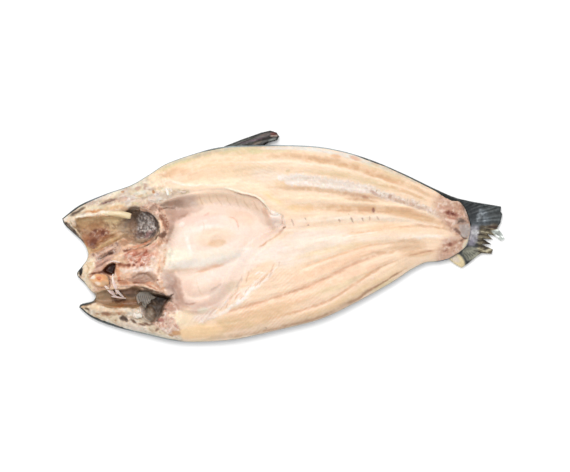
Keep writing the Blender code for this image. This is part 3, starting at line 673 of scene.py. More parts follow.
meat.marks(
    ("a9806b", [(-101, 25), (-95, 29), (-88, 32.5)], 1.6, 0.6),
    ("ba9c8c", [(-113, 2), (-108, 10), (-104, 19), (-99, 26)], 2.6, 0.8),
    # painted shadow: the thin brown line under the brim's lip at its left end
    ("b08e7e", [(-84, 52.4), (-96, 49), (-106, 47.5), (-116, 44)], 1.2, 0.75),
    ("d6bfb1", (-98, 46), 20, 6, 4, 0.7),
    ("a8917f", (-109, 43.6), 10, 3.2, 4, 0.7),
    ("c2a897", (-91, 43), 11, 6, -6, 0.75, 0.0, 1.0),
    ("ad9484", (-95, 42), 5, 4, 0, 0.6),
)
meat.lift += lump(x, y, (-90, 42), 10, 5, 4, 1.8) + lump(x, y, (-107, 39.4), 7, 3.2, 0, 1.8)
meat.marks(
    ("826656", 2.6, 19, 0.5, ease((1.2 - np.hypot((x + 105) / 15, (y - 41.6) / 5.5)) / 0.5), 0, 0.1),
    ("6f5646", [(-116.6, 39.4), (-112, 38.4), (-107, 39.6), (-101, 38.6)], 0.9, 0.8),
    ("e0c6b4", [(-118, 48.4), (-106, 49.4), (-94, 49.6), (-84, 49.4)], 1.7, 0.8),
    ("cdb4a6", 3.0, 16, 0.55, ease((1.2 - np.hypot((x + 101) / 19, (y - 42) / 7)) / 0.5), 0, 0.1),
    ("d9c2b4", (-84, 46.6), 6, 3.4, 0, 0.6),
    ("eae0d8", (-81, 40), 4, 3, 0, 0.7),
    ("d9bcac", (-80, 37), 8, 4.4, 0, 0.55),
    ("d0ab98", (-103, 43), 2.4, 2, 0, 0.7),
)
mound = ease((1.05 - np.hypot((x + 58) / 50, (y - 4) / 26)) / 0.25)
meat.lay("feece0", 0.75 * mound * brim)
meat.marks(
    ("fde0d4", (-78, 25), 22, 5, 0, 0.8),
    ("fdddc6", (-36, 24), 14, 6, -20, 0.7),
    # painted highlights: the white streaks and the white spot on top of the mound
    ("fffaf4", [(-91, 14), (-72, 17.5), (-50, 17)], 2.8, 0.75),
    ("fffcf6", [(-92, 13), (-89.5, 5), (-87.5, -3), (-87, -11)], 2.2, 0.85),
    ("fff8f0", (-94, 22.4), 3.2, 1.8, 20, 0.9, 0.2),
    ("f9dfc6", (-64, 8), 18, 8, 4, 0.7),
    ("e8c6a4", (-62, 1.8), 9, 3.6, 4, 0.75),
    ("e4ac94", [(-49, 25.5), (-43.5, 24), (-40.6, 19), (-40, 13)], 0.8, 0.75),
    ("f1c3b0", [(-74, 24), (-73, 18), (-75, 12)], 0.6, 0.6),
    ("efc1b0", [(-74, 28), (-70, 30), (-66, 32)], 0.9, 0.6),
    # painted light: near-white fields below the mound offset the shade of its slope towards the crease
    ("fffae8", (-101, -9), 17, 9, -4, 0.95),
    ("fffaf0", [(-114, -15), (-92, -14), (-62, -12), (-36, -4)], 4.0, 0.85),
    ("fff8ea", (-64, -8), 22, 5, 0, 0.7),
    ("e8cba8", [(-116, -20.5), (-104, -21.5), (-90, -20), (-78, -17)], 2.0, 0.4),
    ("ddb391", [(4, 11), (-5, 4.6), (-15, -1), (-26, -7)], 1.2, 0.85),
    ("fffcf6", [(-112, -17), (-90, -16), (-64, -13), (-44, -11), (-30, -6)], 3.2, 0.7),
    ("ecc7a6", [(-24, -6), (-36, -10.5), (-50, -15), (-60, -18.6)], 1.1, 0.35),
    ("fffcf2", [(-114, -18.4), (-92, -17.6), (-66, -15.6), (-46, -12.4), (-30, -8)], 3.0, 0.75),
)
# painted light on the slope above the crease
meat.patch("fffaf4", [(-60, -15), (-30, -5), (-16, -8), (-30, -17), (-46, -23), (-62, -22)], 5, 0.5)
meat.streak("e3ac88", [(-54, -17.4), (-63, -19.8), (-75, -22.2), (-86, -25.4)], 2.0, 0.5)
meat.patch("fff0e6", [(-4, 1), (-26, -12), (-50, -20), (-78, -27), (-84, -33), (-60, -33), (-34, -26),
    (-12, -17), (4, -10)], 6, 0.8)
meat.marks(
    ("f4e4da", (-3.5, 19), 5, 5.5, -10, 0.85),
    ("c39b86", 1.6, 27, 0.5, meat.zone([(-6, 22), (2, 22), (3, 13), (-6, 13)], 3), 0, 0.35),
    ("b39280", [(0.4, 23), (2.2, 18), (1.6, 12.5)], 0.6, 0.7),
    ("fbf6f0", (-4.6, 24.4), 4.4, 2.2, 8, 0.9, 0.3),
    ("a3705a", (3.2, 11.6), 1.6, 0.9, 10, 0.8, -0.2),
    ("c79c88", (-13, 27), 3, 5, 25, 0.3),
    ("f3d6c6", (-93, -37), 6, 5, 0, 0.5, 0.0, 1.2),
    ("e9ccb9", [(-84, -31), (-83, -38), (-80, -47)], 0.7, 0.6),
)
# painted shade: the grey-mauve of the trough at the lower end of the belly, laid over its membrane
shaded_trough = meat.zone([(-121, -22), (-108, -22), (-101, -34), (-97, -46), (-88, -53), (-72, -51),
    (-58, -44), (-60, -52), (-74, -60), (-92, -63), (-104, -60), (-110, -48), (-117, -34)], 7)
meat.lay("d6bcaf", 0.8 * shaded_trough)
meat.marks(
    ("ead9ce", 5.0, 17, 0.5, shaded_trough),
    ("b4958a", 4.6, 18, 0.45, shaded_trough * ease((-78 - x) / 14), 0.0, 0.1),
    ("ab9085", (-108, -36), 5.5, 12, 10, 0.3, 0.0, 1.2),
    ("c4a08e", [(-107, -24), (-102, -32), (-101, -42), (-101, -52), (-96, -58.6), (-86, -60)], 4.4, 0.7),
    ("a0857a", [(-107, -36), (-105.6, -44), (-102, -52)], 2.2, 0.5),
    ("b08a7e", [(-98, -52), (-92, -54), (-86, -53)], 0.9, 0.7),
    ("e2cfc2", (-62, -45), 13, 6.5, 25, 0.8),
    ("e0d1ba", (-50, -40), 7, 5, 30, 0.7),
    ("c8ad9f", [(-40, -31), (-43, -36), (-48, -42)], 1.3, 0.6),
    ("cdb6ab", [(-72, -44), (-66, -40), (-58, -36)], 1.2, 0.5),
    ("eedfd2", (-78, -66), 12, 5, 8, 0.75),
    ("dfe0cc", (-80, -60), 5, 2.2, 0, 0.6),
)
for i in range(8):
    root = np.array((-96 + 3.2 * i, -74 + 0.9 * i))
    meat.streak("fdeee6" if i % 2 else "dcc0b4", [root, root + (4, 4.5), root + (10, 9)], 0.7, 0.55)

# the back half of the head: the cheek outside, the jaw ridge, the mouth and the gill pit
cheek = meat.zone([(-212, 36), (-196, 50), (-160, 63), (-125, 77), (-123, 64), (-120, 59.4), (-107, 59),
    (-98, 57.4), (-88, 55.6), (-85, 51.4), (-101, 48.4), (-122, 41), (-142, 43), (-190, 38)], 4)
meat.lay("e0d2b8", 0.92 * cheek)
meat.marks(
    ("dbdad0", [(-200, 43), (-180, 51), (-160, 57), (-142, 61), (-126, 66)], 5.0, 0.9),
    ("e0dedb", (-133, 63), 8, 3.6, 18, 0.75),
    ("e6dbb2", (-153, 55), 5, 3.6, 10, 0.6),
    ("ead9b4", (-113, 54.6), 7, 3.4, 0, 0.8),
    ("f1eee4", 4.2, 101, 0.75, cheek, 0.3, 0, 16, 3.0),
    ("bda796", 3.0, 102, 0.6, cheek, -0.3, 0.15, 16, 2.6),
    ("c5b7b4", 6.0, 105, 0.5, cheek, 0, 0.1, 16, 1.6),
    ("b98f77", 1.6, 103, 0.55, cheek, -0.3, 0.5, 16, 1.8),
    ("d9cda6", 5.0, 104, 0.5, cheek, 0, 0, 16, 2),
    ("d2b6a4", [(-178, 49), (-166, 52), (-150, 55), (-136, 59)], 2.0, 0.35),
    ("cfa896", (-150, 50), 7, 2.2, 6, 0.5),
    ("f3e8d0", [(-166, 52.6), (-154, 55), (-144, 58.6)], 1.4, 0.75, 0.3),
    ("bd9c8e", (-132.6, 60), 3.4, 1.8, 14, 0.75, -0.2),
    ("c2a394", (-125.6, 60.6), 1.6, 3.4, -20, 0.75, -0.2),
    ("e5e4d6", (-130, 55.6), 6, 1.8, 4, 0.8, 0.2),
    ("cfae86", (-131, 53), 3, 1.2, 0, 0.6),
    ("bf8655", (-147, 57.4), 1.6, 1.0, 0, 0.85),
    ("b89a8c", [(-102.8, 57.6), (-101.4, 54), (-99.6, 50.4)], 0.6, 0.8),
    ("b08876", (-90, 53), 1.6, 1.0, 0, 0.7),
    ("e9d2c0", [(-140, 48), (-126, 47.6), (-112, 50)], 2.4, 0.7, 0.2),
    ("b0733f", (-118, 55), 1.1, 1.6, 0, 0.85, -0.2),
    ("8d6a66", [(-173, 46.2), (-166, 48.2), (-158, 50.2), (-151, 50.6)], 1.3, 0.8, -0.5),
    ("6b4a4c", [(-168, 47.4), (-162, 49), (-156, 50)], 0.7, 0.8, -0.4),
    ("eadfc4", [(-206, 38.5), (-196, 40), (-182, 43.5), (-168, 45.5)], 2.4, 0.85),
    ("50402f", [(-202, 38.8), (-196, 41), (-190, 43), (-184, 45.6)], 1.6, 0.95, -0.6),
    ("8a735c", [(-199, 38), (-193, 40), (-187, 41.6)], 0.8, 0.7),
    ("7d6650", (-188, 44.4), 4, 1.3, 18, 0.7),
    ("efe9dd", (-205, 37), 3.6, 2.4, 20, 0.9),
    ("c98a58", [(-187, 41.6), (-177, 41), (-166, 41.8)], 1.5, 0.9, -0.4),
    ("dcb88e", [(-168, 42.6), (-154, 43.5), (-145, 43)], 2.6, 0.85),
    ("efe3c6", [(-166, 44.4), (-156, 46), (-146, 45)], 1.2, 0.7, 0.2),
)
meat.patch("bd956d", UPPER_MOUTH, 2.6, 1.0)
hollow = meat.zone(UPPER_MOUTH, 4)
meat.marks(
    ("cbb48c", (-158, 26), 10, 6, -8, 0.8),
    ("cdb08a", 5.5, 111, 0.7, hollow),
    ("97744f", 4.2, 112, 0.6, hollow, -0.2, 0.1),
    ("83604a", 2.2, 113, 0.45, hollow, -0.2, 0.4),
    ("c4a47a", (-187, 32), 8, 4.4, 0, 0.7),
    ("a77c55", (-177, 26), 6, 4.4, 0, 0.7),
    ("9c7350", (-185, 18), 4.4, 6.4, 30, 0.7),
    ("ddc29b", (-186, 5), 3.4, 3.6, 0, 0.75),
    # painted light: a light strip below the jaw edge offsets the shade on the mouth's upper wall
    ("e3cca4", [(-193, 34), (-182, 34.4), (-168, 34.6), (-156, 33.6)], 1.5, 0.7),
    ("fbf5e4", [(-197, 36.6), (-187, 37.8), (-176, 38.4), (-167, 39.6), (-158, 40)], 1.4, 0.97, 1.0, 0.15),
)
for i in range(7):
    root = np.array((-167 + 3.3 * i, 33.5 - 0.5 * i))
    meat.streak("cbb494" if i % 2 else "8f7355", [root, root + (1.6, -5), root + (4.5, -10)], 1.1, 0.6, 0.3)
# painted light: a pale field under the jaw rod offsets the shadow it casts
meat.blotch("f0dcb0", (-157, 32.2), 13, 3.2, -4, 0.8)
wound = meat.zone([(-186, 9), (-184, 17), (-176, 24), (-164, 24), (-165, 17), (-174, 12), (-179, 6)], 3.5)
meat.lay("8f5a40", 0.85 * wound, -0.3)
meat.marks(
    ("653020", 3.2, 114, 0.75, wound, -0.5, 0.05, 35, 1.6),
    ("e8d8c2", 1.2, 115, 0.55, wound * ease((y - 14) / 5), 0.4, 0.3, 35, 1.5),
    ("6e3822", (-180, 12), 4.2, 3.0, 35, 0.8, -0.4),
    ("a9714f", (-186, 15), 4.4, 6, 20, 0.6),
    ("b07a50", (-171, 14), 5, 2.4, 30, 0.7),
    ("e2c499", [(-187, 1), (-178, 3.6), (-170, 8), (-163, 12.6), (-152, 16.5)], 2.2, 0.92, 0.7),
    ("9c6c44", [(-184, 6), (-174, 10), (-165, 15), (-155, 19.4)], 1.5, 0.88, -0.6),
    ("ecd3b1", [(-181, -0.5), (-171, 4.2), (-163, 8.6), (-152, 12)], 1.4, 0.9, 0.6),
    ("a87752", [(-177, 1.6), (-168, 6), (-159, 10.6), (-151, 14)], 1.1, 0.85, -0.5),
    ("dcc2a4", [(-166, 18.4), (-158, 20.6), (-150, 20.6)], 1.5, 0.75, 0.3),
    ("b48b66", [(-162, 16), (-154, 17.6), (-148, 16.4)], 1.0, 0.7, -0.3),
)
near_wall = depth_inside(meat.x, meat.y, loop_through(UPPER_GILL, 2), 20)
meat.lift += 3.1 * ease(near_wall / 4.5) * ease((-135 - x) / 14)
dish = ease(near_wall / 4.2) * ease((14 - near_wall) / 9) * np.maximum(ease((x + 146) / 10), ease((15 - y) / 5))
meat.lift += 2.4 * ease(near_wall / 4) * ease((x + 146) / 8) + 6.4 * dish
meat.lift += 3.2 * hollow * ease((y - 26) / 10) * ease((-150 - x) / 6)
meat.lift += 4.0 * ease(near_wall / 3) * meat.zone([(-149, 42), (-140, 44), (-128, 42), (-127, 37),
    (-135, 34), (-143, 37)], 5)
corner = meat.zone([(-132, 43.5), (-124, 41), (-116.4, 34.6), (-114, 27), (-118, 31.4), (-121.6, 35.4),
    (-131, 37.4)], 2.2)
meat.lift += np.clip(20.5 - z, 0, 9.5) * corner * ease((near_wall + 1) / 4)
meat.lay("8d7668", meat.zone(UPPER_GILL, 3.4) * (0.15 + 0.85 * ease((x + 152) / 12)))
meat.marks(
    ("b89e80", (-147, 19), 8, 10, 30, 0.85),
    ("ab9583", (-139, 12), 10, 4.4, 10, 0.8),
    ("98806a", (-147, 29), 6, 3.4, 0, 0.7),
)
gill = ease((near_wall - 0.6) / 2.4) * ease((x + 149) / 13) * ease((y - 8.5) / 4) * (1 - corner)
meat.lay("8f8681", 0.9 * gill)
meat.lay("a8a09b", 0.6 * gill * ease((x + 136) / 10))
beads = ripple(x, y, 1.5, 21) + 0.8 * ripple(x, y, 0.9, 22)
meat.lay("efebe7", 0.8 * gill * ease(beads * 1.7 - 0.3), 0.4)
meat.lay("41352f", 0.75 * gill * ease(-beads * 1.7 - 0.2), -0.35)
meat.marks(
    ("7c4c4a", 3.0, 116, 0.75, gill * ease((21 - y) / 6) * ease((x + 142) / 6), 0, 0.1),
    ("5b4742", 5.0, 121, 0.5, gill, 0, 0.15),
    ("5f5147", (-141, 28), 6, 5, 0, 0.6, 0.0, 1.0),
    ("b7a28a", 2.4, 125, 0.55, gill * ease((-134 - x) / 8), 0.3),
    ("bcb5af", (-127, 27), 8, 5, 0, 0.35, 0.0, 1.0),
    ("6e5348", (-137, 15), 7, 3, 0, 0.5, 0.0, 1.0),
    ("ab937a", (-147, 23), 5, 8, 10, 0.75),
    ("877e77", 2.2, 126, 0.6, ease((1.15 - np.hypot((x + 144) / 6, (y - 22) / 9)) / 0.5), 0.3),
    ("cbbcae", 2.6, 117, 0.5, ease((1.1 - np.hypot((x + 144) / 9, (y - 16) / 10)) / 0.5), 0.4),
)
# painted shadow: the dark wedge under the upper rim of the gill pit
meat.patch("5b4a3b", [(-148, 40), (-141, 42.8), (-131, 41), (-129, 37.4), (-135, 34), (-139, 29), (-142, 32),
    (-142, 37)], 3, 0.92)
meat.marks(
    # painted shade: the near-black line down the pit's right rim
    ("2f2620", [(-130, 36.6), (-124, 34.6), (-118.6, 29.4), (-116, 22), (-117.6, 15.6)], 1.5, 0.9, -0.3),
    ("8c7866", 2.2, 124, 0.6, meat.zone([(-147, 39), (-131, 40), (-131, 35), (-140, 30), (-143, 34)], 3)),
    ("c9a98a", (-146.5, 41.6), 3.2, 1.8, 0, 0.75),
)
meat.lay("b99c88", 0.9 * corner)
meat.mottle("8a6c5b", 2.2, 122, 0.6, corner)
shelf = ease((13.5 - y) / 4) * ease((near_wall + 0.5) / 1.5) * ease((-117 - x) / 3)
meat.lay("b3967c", 0.8 * shelf)
meat.marks(
    ("8d725c", 2.8, 123, 0.6, shelf, -0.3, 0, -12, 2.5),
    ("d0a78a", (-146, 13), 6, 4, 0, 0.7),
    ("9a755a", (-141, 24), 4.6, 7, 0, 0.55),
    ("e8c6a4", (-155, 18), 4, 2, 0, 0.6),
    ("5b4636", [(-139, 8.8), (-133, 8), (-124.6, 10), (-119.6, 16)], 0.8, 0.75, -0.4),
    ("a68a72", [(-147, 19), (-140, 13.4), (-131, 11.4), (-123.6, 14.6)], 0.9, 0.7, 0.3),
    ("6b5442", [(-146, 22), (-139, 16), (-131, 14)], 0.6, 0.3, -0.3),
)
for i in range(5):
    root = np.array((-160 + 1.5 * i, 30 - 3.2 * i))
    meat.streak("8e7254" if i % 2 else "c4ab86", [root, root + (7, -0.6), root + (15, -2.6)], 0.8, 0.6, -0.2)
meat.marks(
    ("c9a184", [(-119, 12), (-125, 7.6), (-133, 5.4), (-142, 5)], 1.8, 0.85),
    ("54402f", [(-114.8, 20), (-116.6, 14), (-121.6, 9), (-128, 5.2), (-135, 3.6)], 0.8, 0.9, -0.5),
    ("8f6e58", [(-117.6, 17), (-120, 11.6), (-126, 8)], 0.5, 0.8, -0.3),
    ("e6c4a6", [(-112.6, 16), (-116, 9), (-122, 4.4), (-130, 1.6), (-140, 1)], 1.8, 0.9),
)
ridge = meat.zone([(-128, 45), (-116, 44), (-107, 32), (-107, 12), (-112, 2), (-116, 8), (-113, 16),
    (-112, 26), (-117, 34), (-128, 41)], 3)
meat.lay("dbb8a2", 0.85 * ridge)
meat.marks(
    ("f3dccb", 2.6, 118, 0.8, ridge, 0.4),
    ("9a6a52", 2.4, 119, 0.8, ridge, -0.5, 0.2),
    ("9c7d6b", (-118.4, 40), 3.4, 3.2, 0, 0.75),
    ("8f5c45", (-112.6, 30.6), 1.8, 3.2, 14, 0.85, -0.5),
    ("8a5f48", [(-113.4, 32), (-111.6, 27), (-112, 22)], 1.7, 0.75),
    ("a87660", [(-111, 28), (-109.6, 23), (-110.2, 18)], 1.2, 0.7, -0.3),
    ("e6b493", [(-114, 30), (-112.8, 23), (-113.4, 18)], 1.0, 0.8, 0.3),
)
meat.patch("73503e", [(-117, 14), (-111, 17), (-107.5, 14.5), (-110, 11), (-115, 11)], 2.0, 0.9, -0.5)
meat.marks(
    ("f4ddcc", (-119, 3), 3, 3, 0, 0.85, 0.5),
    ("eeb992", (-116, 6), 2.4, 3.4, 20, 0.75, 0.3),
)
column = meat.zone([(-122, 8), (-111, 8), (-112, -10), (-117, -26), (-112, -40), (-118, -42), (-126, -28),
    (-126, -8)], 4)
meat.lay("f0d2ba", 0.85 * column)
meat.marks(
    ("fbeadb", 3.2, 120, 0.8, column, 0.4),
    ("d79c78", 2.6, 121, 0.65, column, -0.3, 0.2),
    ("f3c49c", [(-116, -6), (-118, -14), (-117, -20)], 1.0, 0.7),
    ("f3ebe1", (-120.5, -32), 1.4, 3.2, 10, 0.85, 0.4),
    ("7a4f3c", (-120.5, -28.5), 1.6, 1.1, 20, 0.85, -0.3),
    ("c99a80", [(-122, -22), (-124, -27), (-118, -38), (-113, -43)], 1.6, 0.7, -0.3),
)

# the middle of the head: throat, tongue, the red block behind them and the chamber that held the heart
middle = meat.zone([(-190, -2), (-175, 2), (-160, 8), (-140, 4), (-124, 2), (-118, -12), (-122, -30),
    (-134, -33), (-160, -32), (-182, -34), (-194, -26), (-192, -8)], 3)
meat.lay("e2bc9f", 0.95 * middle)
meat.marks(
    ("f5e0cd", 4.6, 131, 0.7, middle, 0.5, 0, 12, 1.7),
    ("c18a6c", 3.4, 132, 0.5, middle, -0.5, 0.15, 12, 1.9),
    ("9a5f49", 2.0, 133, 0.5, middle * ease((x + 186) / 8), -0.5, 0.5),
)
fold = meat.zone([(-184, 0), (-172, 4), (-156, 10), (-154, 2), (-164, -2), (-176, -8)], 3)
meat.lay("c7a793", 0.8 * fold)
meat.marks(
    ("e3cfc4", 2.4, 134, 0.8, fold, 0.5),
    ("8b6a60", 2.0, 135, 0.7, fold, -0.5, 0.2),
    ("433029", [(-176, -4.2), (-170, -2.2), (-165, -0.4), (-160, 2.2)], 0.9, 0.92, -0.6),
    ("6b4a3e", [(-168, -1), (-163.5, 0.2), (-159, 0.8)], 1.1, 0.8, -0.4),
    ("f0cfbb", (-165.4, 3.8), 3.8, 2, 25, 0.9),
    ("b98862", [(-183, 2), (-175, 3.4), (-169, 6.4)], 1.8, 0.6),
    ("b98c6c", (-150, 9.4), 5, 3, 10, 0.85),
)
meat.patch("d0aa9a", [(-184, -9), (-176, -6.5), (-166, -2.5), (-160, -2), (-163, -6.5), (-170, -10),
    (-176, -16), (-184, -17)], 2.6, 0.85, 0.3)
meat.marks(
    ("9c7467", [(-182, -14), (-175, -10.6), (-168, -7), (-163, -5)], 0.8, 0.8, -0.4),
    ("b78e7c", [(-184, -10.6), (-177, -7.6), (-170, -4.6)], 0.7, 0.7, -0.3),
)
lobe = meat.zone([(-192, -7), (-186, -2), (-179, -4), (-180, -14), (-186, -20), (-183, -31), (-189, -32),
    (-193.5, -23), (-193, -13)], 3)
meat.lay("f1e0c2", 0.95 * lobe)
meat.marks(
    ("fbf3e0", 3.4, 136, 0.7, lobe, 0.3),
    ("d6bb94", 3.0, 137, 0.7, lobe, -0.3, 0.15),
    ("c9a77e", [(-189, -8), (-184.6, -12), (-187, -18), (-185, -24)], 1.0, 0.75, -0.4),
    ("d8bd94", [(-183, -7), (-181, -13)], 0.8, 0.6),
    ("8b8069", (-196.5, -17), 3.2, 4.6, 0, 0.9),
    ("120b08", (-193.3, -14.6), 1.3, 4.2, -14, 1.0, -1.2),
    ("efeae0", (-196.3, -18.4), 1.1, 1.5, 20, 0.95, 0.3),
    ("6e6b58", [(-196, -20.5), (-193, -24), (-190, -26.6)], 0.9, 0.85),
    ("7a4c36", [(-185, -18.6), (-178, -17), (-171, -17.6)], 1.6, 0.85, -0.6),
)
meat.lift += 4.0 * ease(depth_inside(meat.x, meat.y, loop_through(THROAT_HOLE, 2), 20) / 2.5)
# painted shade: the near-black in the throat hole and its darkest middle stand for the shade of its depth
meat.patch("4a1e0b", [(-175, -16.5), (-166, -10), (-158.5, -9.6), (-160.4, -14), (-161.6, -20.5),
    (-167, -19.6)], 2.4, 1.0)
meat.marks(
    ("2a0f05", (-163.6, -14.6), 2.6, 3.6, -20, 0.85),
    ("6b4030", [(-172, -16.4), (-168, -13.6), (-164, -11.4)], 0.8, 0.7),
    ("4a2a1f", [(-168, -20), (-166, -26), (-167, -32)], 1.4, 0.85, -0.6),
    ("f3d2b4", (-155, -5), 7, 4.2, 16, 0.9, 0.8),
    ("fae6d2", [(-160, -4.6), (-156, -2.6), (-151, -1.6)], 1.2, 0.8, 0.3),
    ("d98f6c", [(-147, 3), (-137, 5), (-128, 8), (-120.6, 12.6)], 1.2, 0.8, 0.3),
    ("f2c6a6", [(-152, 5.6), (-142, 6.6), (-134, 8)], 1.2, 0.6, 0.3),
    ("75402f", [(-152, 2.8), (-147, 1.2), (-141, 2.2)], 1.6, 0.88, -0.8),
    ("8f5138", [(-141, 2), (-134, 3.6), (-128, 4)], 0.8, 0.7, -0.4),
    ("d89c78", [(-148, -0.6), (-140, 0.6), (-130, 2)], 1.4, 0.8),
)
block = meat.zone([(-151, -3), (-143, 0.6), (-130, 2), (-120, 6), (-119, -2), (-124, -10), (-132, -15),
    (-140, -14), (-147, -9)], 5)
meat.lay("dba892", 0.8 * block)
meat.marks(
    ("b9654e", 2.8, 138, 0.75, block, -0.6, 0.0, 24, 2.0),
    ("f7e0d4", 2.4, 139, 0.85, block, 0.7, 0.1, 24, 1.7),
    ("9c4a38", 1.6, 143, 0.6, block * ease((-128 - x) / 8), -0.5, 0.4, 24, 1.5),
)
for i in range(9):
    root = np.array((-150 + 2.2 * i, -2.6 - 0.6 * i))
    code = ("ad5a45", "f2d0c0", "c57f68")[i % 3]
    meat.streak(code, [root, root + (5, 1.4), root + (10, 3.6)], 0.8, 0.65, 0.4 if i % 3 == 1 else -0.4)
for spot, size in (
    ((-147, -12.6), 2.0), ((-142, -12.6), 1.5), ((-139.6, -10.2), 1.0), ((-135, -13.6), 1.7),
    ((-131, -9.6), 0.9),
):
    meat.blotch("7c3d2c", spot, size, 0.7 * size, 25, 0.8, -0.9)
knots = ease((1.1 - np.hypot((x + 128) / 9, (y + 11) / 8)) / 0.4)
meat.marks(
    ("fbefe8", 1.9, 140, 0.85, knots, 0.8),
    ("c08a78", 1.6, 141, 0.6, knots, -0.5, 0.25),
    ("8f4f33", [(-159, -10.6), (-153, -11.8), (-146, -13.6)], 2.2, 0.88, -0.6),
    ("b27a5c", [(-156, -13.4), (-149, -14.8), (-142, -14)], 1.8, 0.55),
    ("f6dcc6", (-122, 1), 4.5, 4, 0, 0.7),
    ("fbe8d6", (-123, -13), 4, 7, 0, 0.8),
    ("efd0c0", (-130, -8), 3.4, 2.6, 0, 0.6),
    ("f6e6d6", (-125, -20), 3.4, 3, 0, 0.7),
    ("efcbb0", (-150, -20), 8, 5, 0, 0.6),
    ("f6e6d8", (-152, -17), 4, 2, -10, 0.6, 0.3),
    ("d29468", (-157.6, -19), 1.8, 4, 0, 0.7),
    ("c57a55", (-157, -24), 1.6, 1.4, 0, 0.75),
    ("b47a5c", (-153.5, -28), 5, 2.2, -10, 0.7, -0.4),
    ("fdf4ee", [(-152, -18.6), (-140, -16.8), (-130, -17.4), (-122, -20)], 3.2, 0.95, 0.5),
)
chamber = meat.zone([(-148, -26), (-143, -21), (-134, -19.6), (-126, -21.4), (-121, -26.4), (-126, -30.6),
    (-138, -31), (-146, -29.6)], 4)
meat.lay("b99b89", 0.92 * chamber)
meat.lift += 4.0 * ease(depth_inside(meat.x, meat.y, loop_through(HEART_CHAMBER, 2), 20) / 3)
meat.marks(
    ("b3917f", 3.6, 142, 0.55, chamber, -0.2),
    ("9b6550", [(-147, -27), (-143, -29.4), (-136, -30.4), (-129, -30.4)], 1.5, 0.85, -0.4),
    ("b98a75", [(-146, -25.6), (-141, -27.6), (-134, -28.4)], 1.6, 0.6),
    ("e6c7b6", [(-160, -30.6), (-150, -31.8), (-140, -31.6), (-131, -31.8)], 1.2, 0.85, 0.4),
    ("d89e7e", [(-134, -30), (-126, -32), (-119, -36)], 1.6, 0.8),
    ("a9614b", [(-134, -31.6), (-127, -34.6), (-121, -38)], 0.9, 0.7, -0.4),
    # painted shadow: the dark line along the upper edge of the lower gill pit
    ("5a3f33", [(-143, -33.2), (-135, -35), (-127, -37.8), (-119, -40.8), (-112, -43.8)], 1.5, 0.85, -0.5),
)

# the lower half of the head: mouth, gill pit, jaw and cheek
lower = meat.zone([(-202, -48), (-186, -47), (-160, -53), (-138, -54), (-126, -70), (-106, -78), (-104, -91),
    (-135, -86), (-170, -74), (-200, -58)], 3)
meat.lay("e0d3bb", 0.95 * lower)
meat.marks(
    ("f4eee2", 3.2, 151, 0.75, lower, 0.3, 0, -19, 3.2),
    ("c3a88c", 2.8, 152, 0.65, lower, -0.3, 0.15, -19, 2.8),
    ("9c7a62", 2.0, 153, 0.6, lower * ease((-58 - y) / 6 + 0.6), -0.4, 0.5),
    ("cfd0c6", [(-190, -59), (-165, -69), (-135, -79), (-112, -85.6)], 2.6, 0.8),
    ("efdcb9", [(-193, -49.6), (-182, -49.4), (-172, -49.8)], 2.0, 0.85),
)
pit = meat.zone(LOWER_MOUTH, 2.6)
meat.lay("a18264", pit)
meat.marks(
    ("b09071", 4.0, 154, 0.6, pit),
    ("6d4f3c", 3.0, 155, 0.6, pit, -0.2, 0.1),
)
meat.lift += (3.0 + 1.6 * ease((-170 - x) / 6)) * pit * ease((y + 45) / 8) * ease((-142 - x) / 8)
meat.lift += 3.4 * pit * ease((-44 - y) / 5)
meat.marks(
    ("b9a184", (-175, -40), 9, 6, 0, 0.9),
    ("b08a63", [(-180, -47.6), (-166, -50), (-152, -51.6), (-141, -52)], 2.0, 0.85),
    ("7f7059", [(-183, -37), (-182.6, -41), (-181, -44)], 1.3, 0.8),
    ("9a7d6c", (-150, -37.4), 9, 3.0, 0, 0.8),
    ("75645a", (-147, -41.6), 7, 2.0, -8, 0.7),
    # painted shadow: the dark brown line under the strings
    ("5f3d2d", [(-166, -44.6), (-158, -46.4), (-150, -45.8)], 1.6, 0.85, -0.3),
    ("8e6348", (-150, -49), 9, 2.4, 0, 0.6),
    ("a86c40", [(-166, -50.4), (-160, -51), (-153, -50.6)], 1.6, 0.85),
    ("bd9f84", (-174, -45.6), 7, 2.6, 4, 0.85),
    ("e6cfb4", [(-186, -51.6), (-172, -53.4), (-158, -55.6), (-146, -55)], 1.8, 0.8, 0.3),
    ("f6ecdd", [(-161, -54.4), (-150, -54), (-142, -54.8), (-136.6, -58)], 1.2, 0.9, 0.5),
    ("b98c68", [(-178, -55.6), (-166, -57), (-152, -58)], 1.5, 0.7, -0.3),
)
for spot, long, wide, turn, code in (
    ((-172, -57), 4.2, 1.9, -14, "a1765a"), ((-156.6, -62.4), 3.4, 2.3, 6, "42322a"),
    ((-154, -64.2), 2.2, 1.7, -30, "4e3a2f"), ((-146.4, -66.2), 3.6, 1.4, -48, "6a4d3c"),
    ((-190.4, -51.4), 2.6, 1.1, -24, "5a4632"), ((-160, -58.6), 1.4, 1.1, 0, "b07d5e"),
    ((-139, -70), 3.4, 1.1, -20, "7c5a4a"), ((-125, -75.4), 1.7, 1.3, 10, "90705d"),
    ((-117.6, -76.4), 2.2, 1.6, 20, "8b6b5a"), ((-180, -56), 2.2, 0.9, -20, "b08a68"),
    ((-164, -64), 1.2, 0.9, 0, "b3916f"),
):
    meat.blotch(code, spot, long, wide, turn, 0.85, -0.6, 0.9)
meat.blotch("e9ddd0", (-150, -69.6), 12, 3.0, -20, 0.6, 0.2)
meat.patch("75614f", LOWER_GILL, 2.4, 1.0)
meat.lift += 2.6 * meat.zone(LOWER_GILL, 3) * ease((-131 - x) / 10)
cave = meat.zone(LOWER_GILL, 4)
meat.lift += 2.2 * cave * ease((x + 137) / 8)
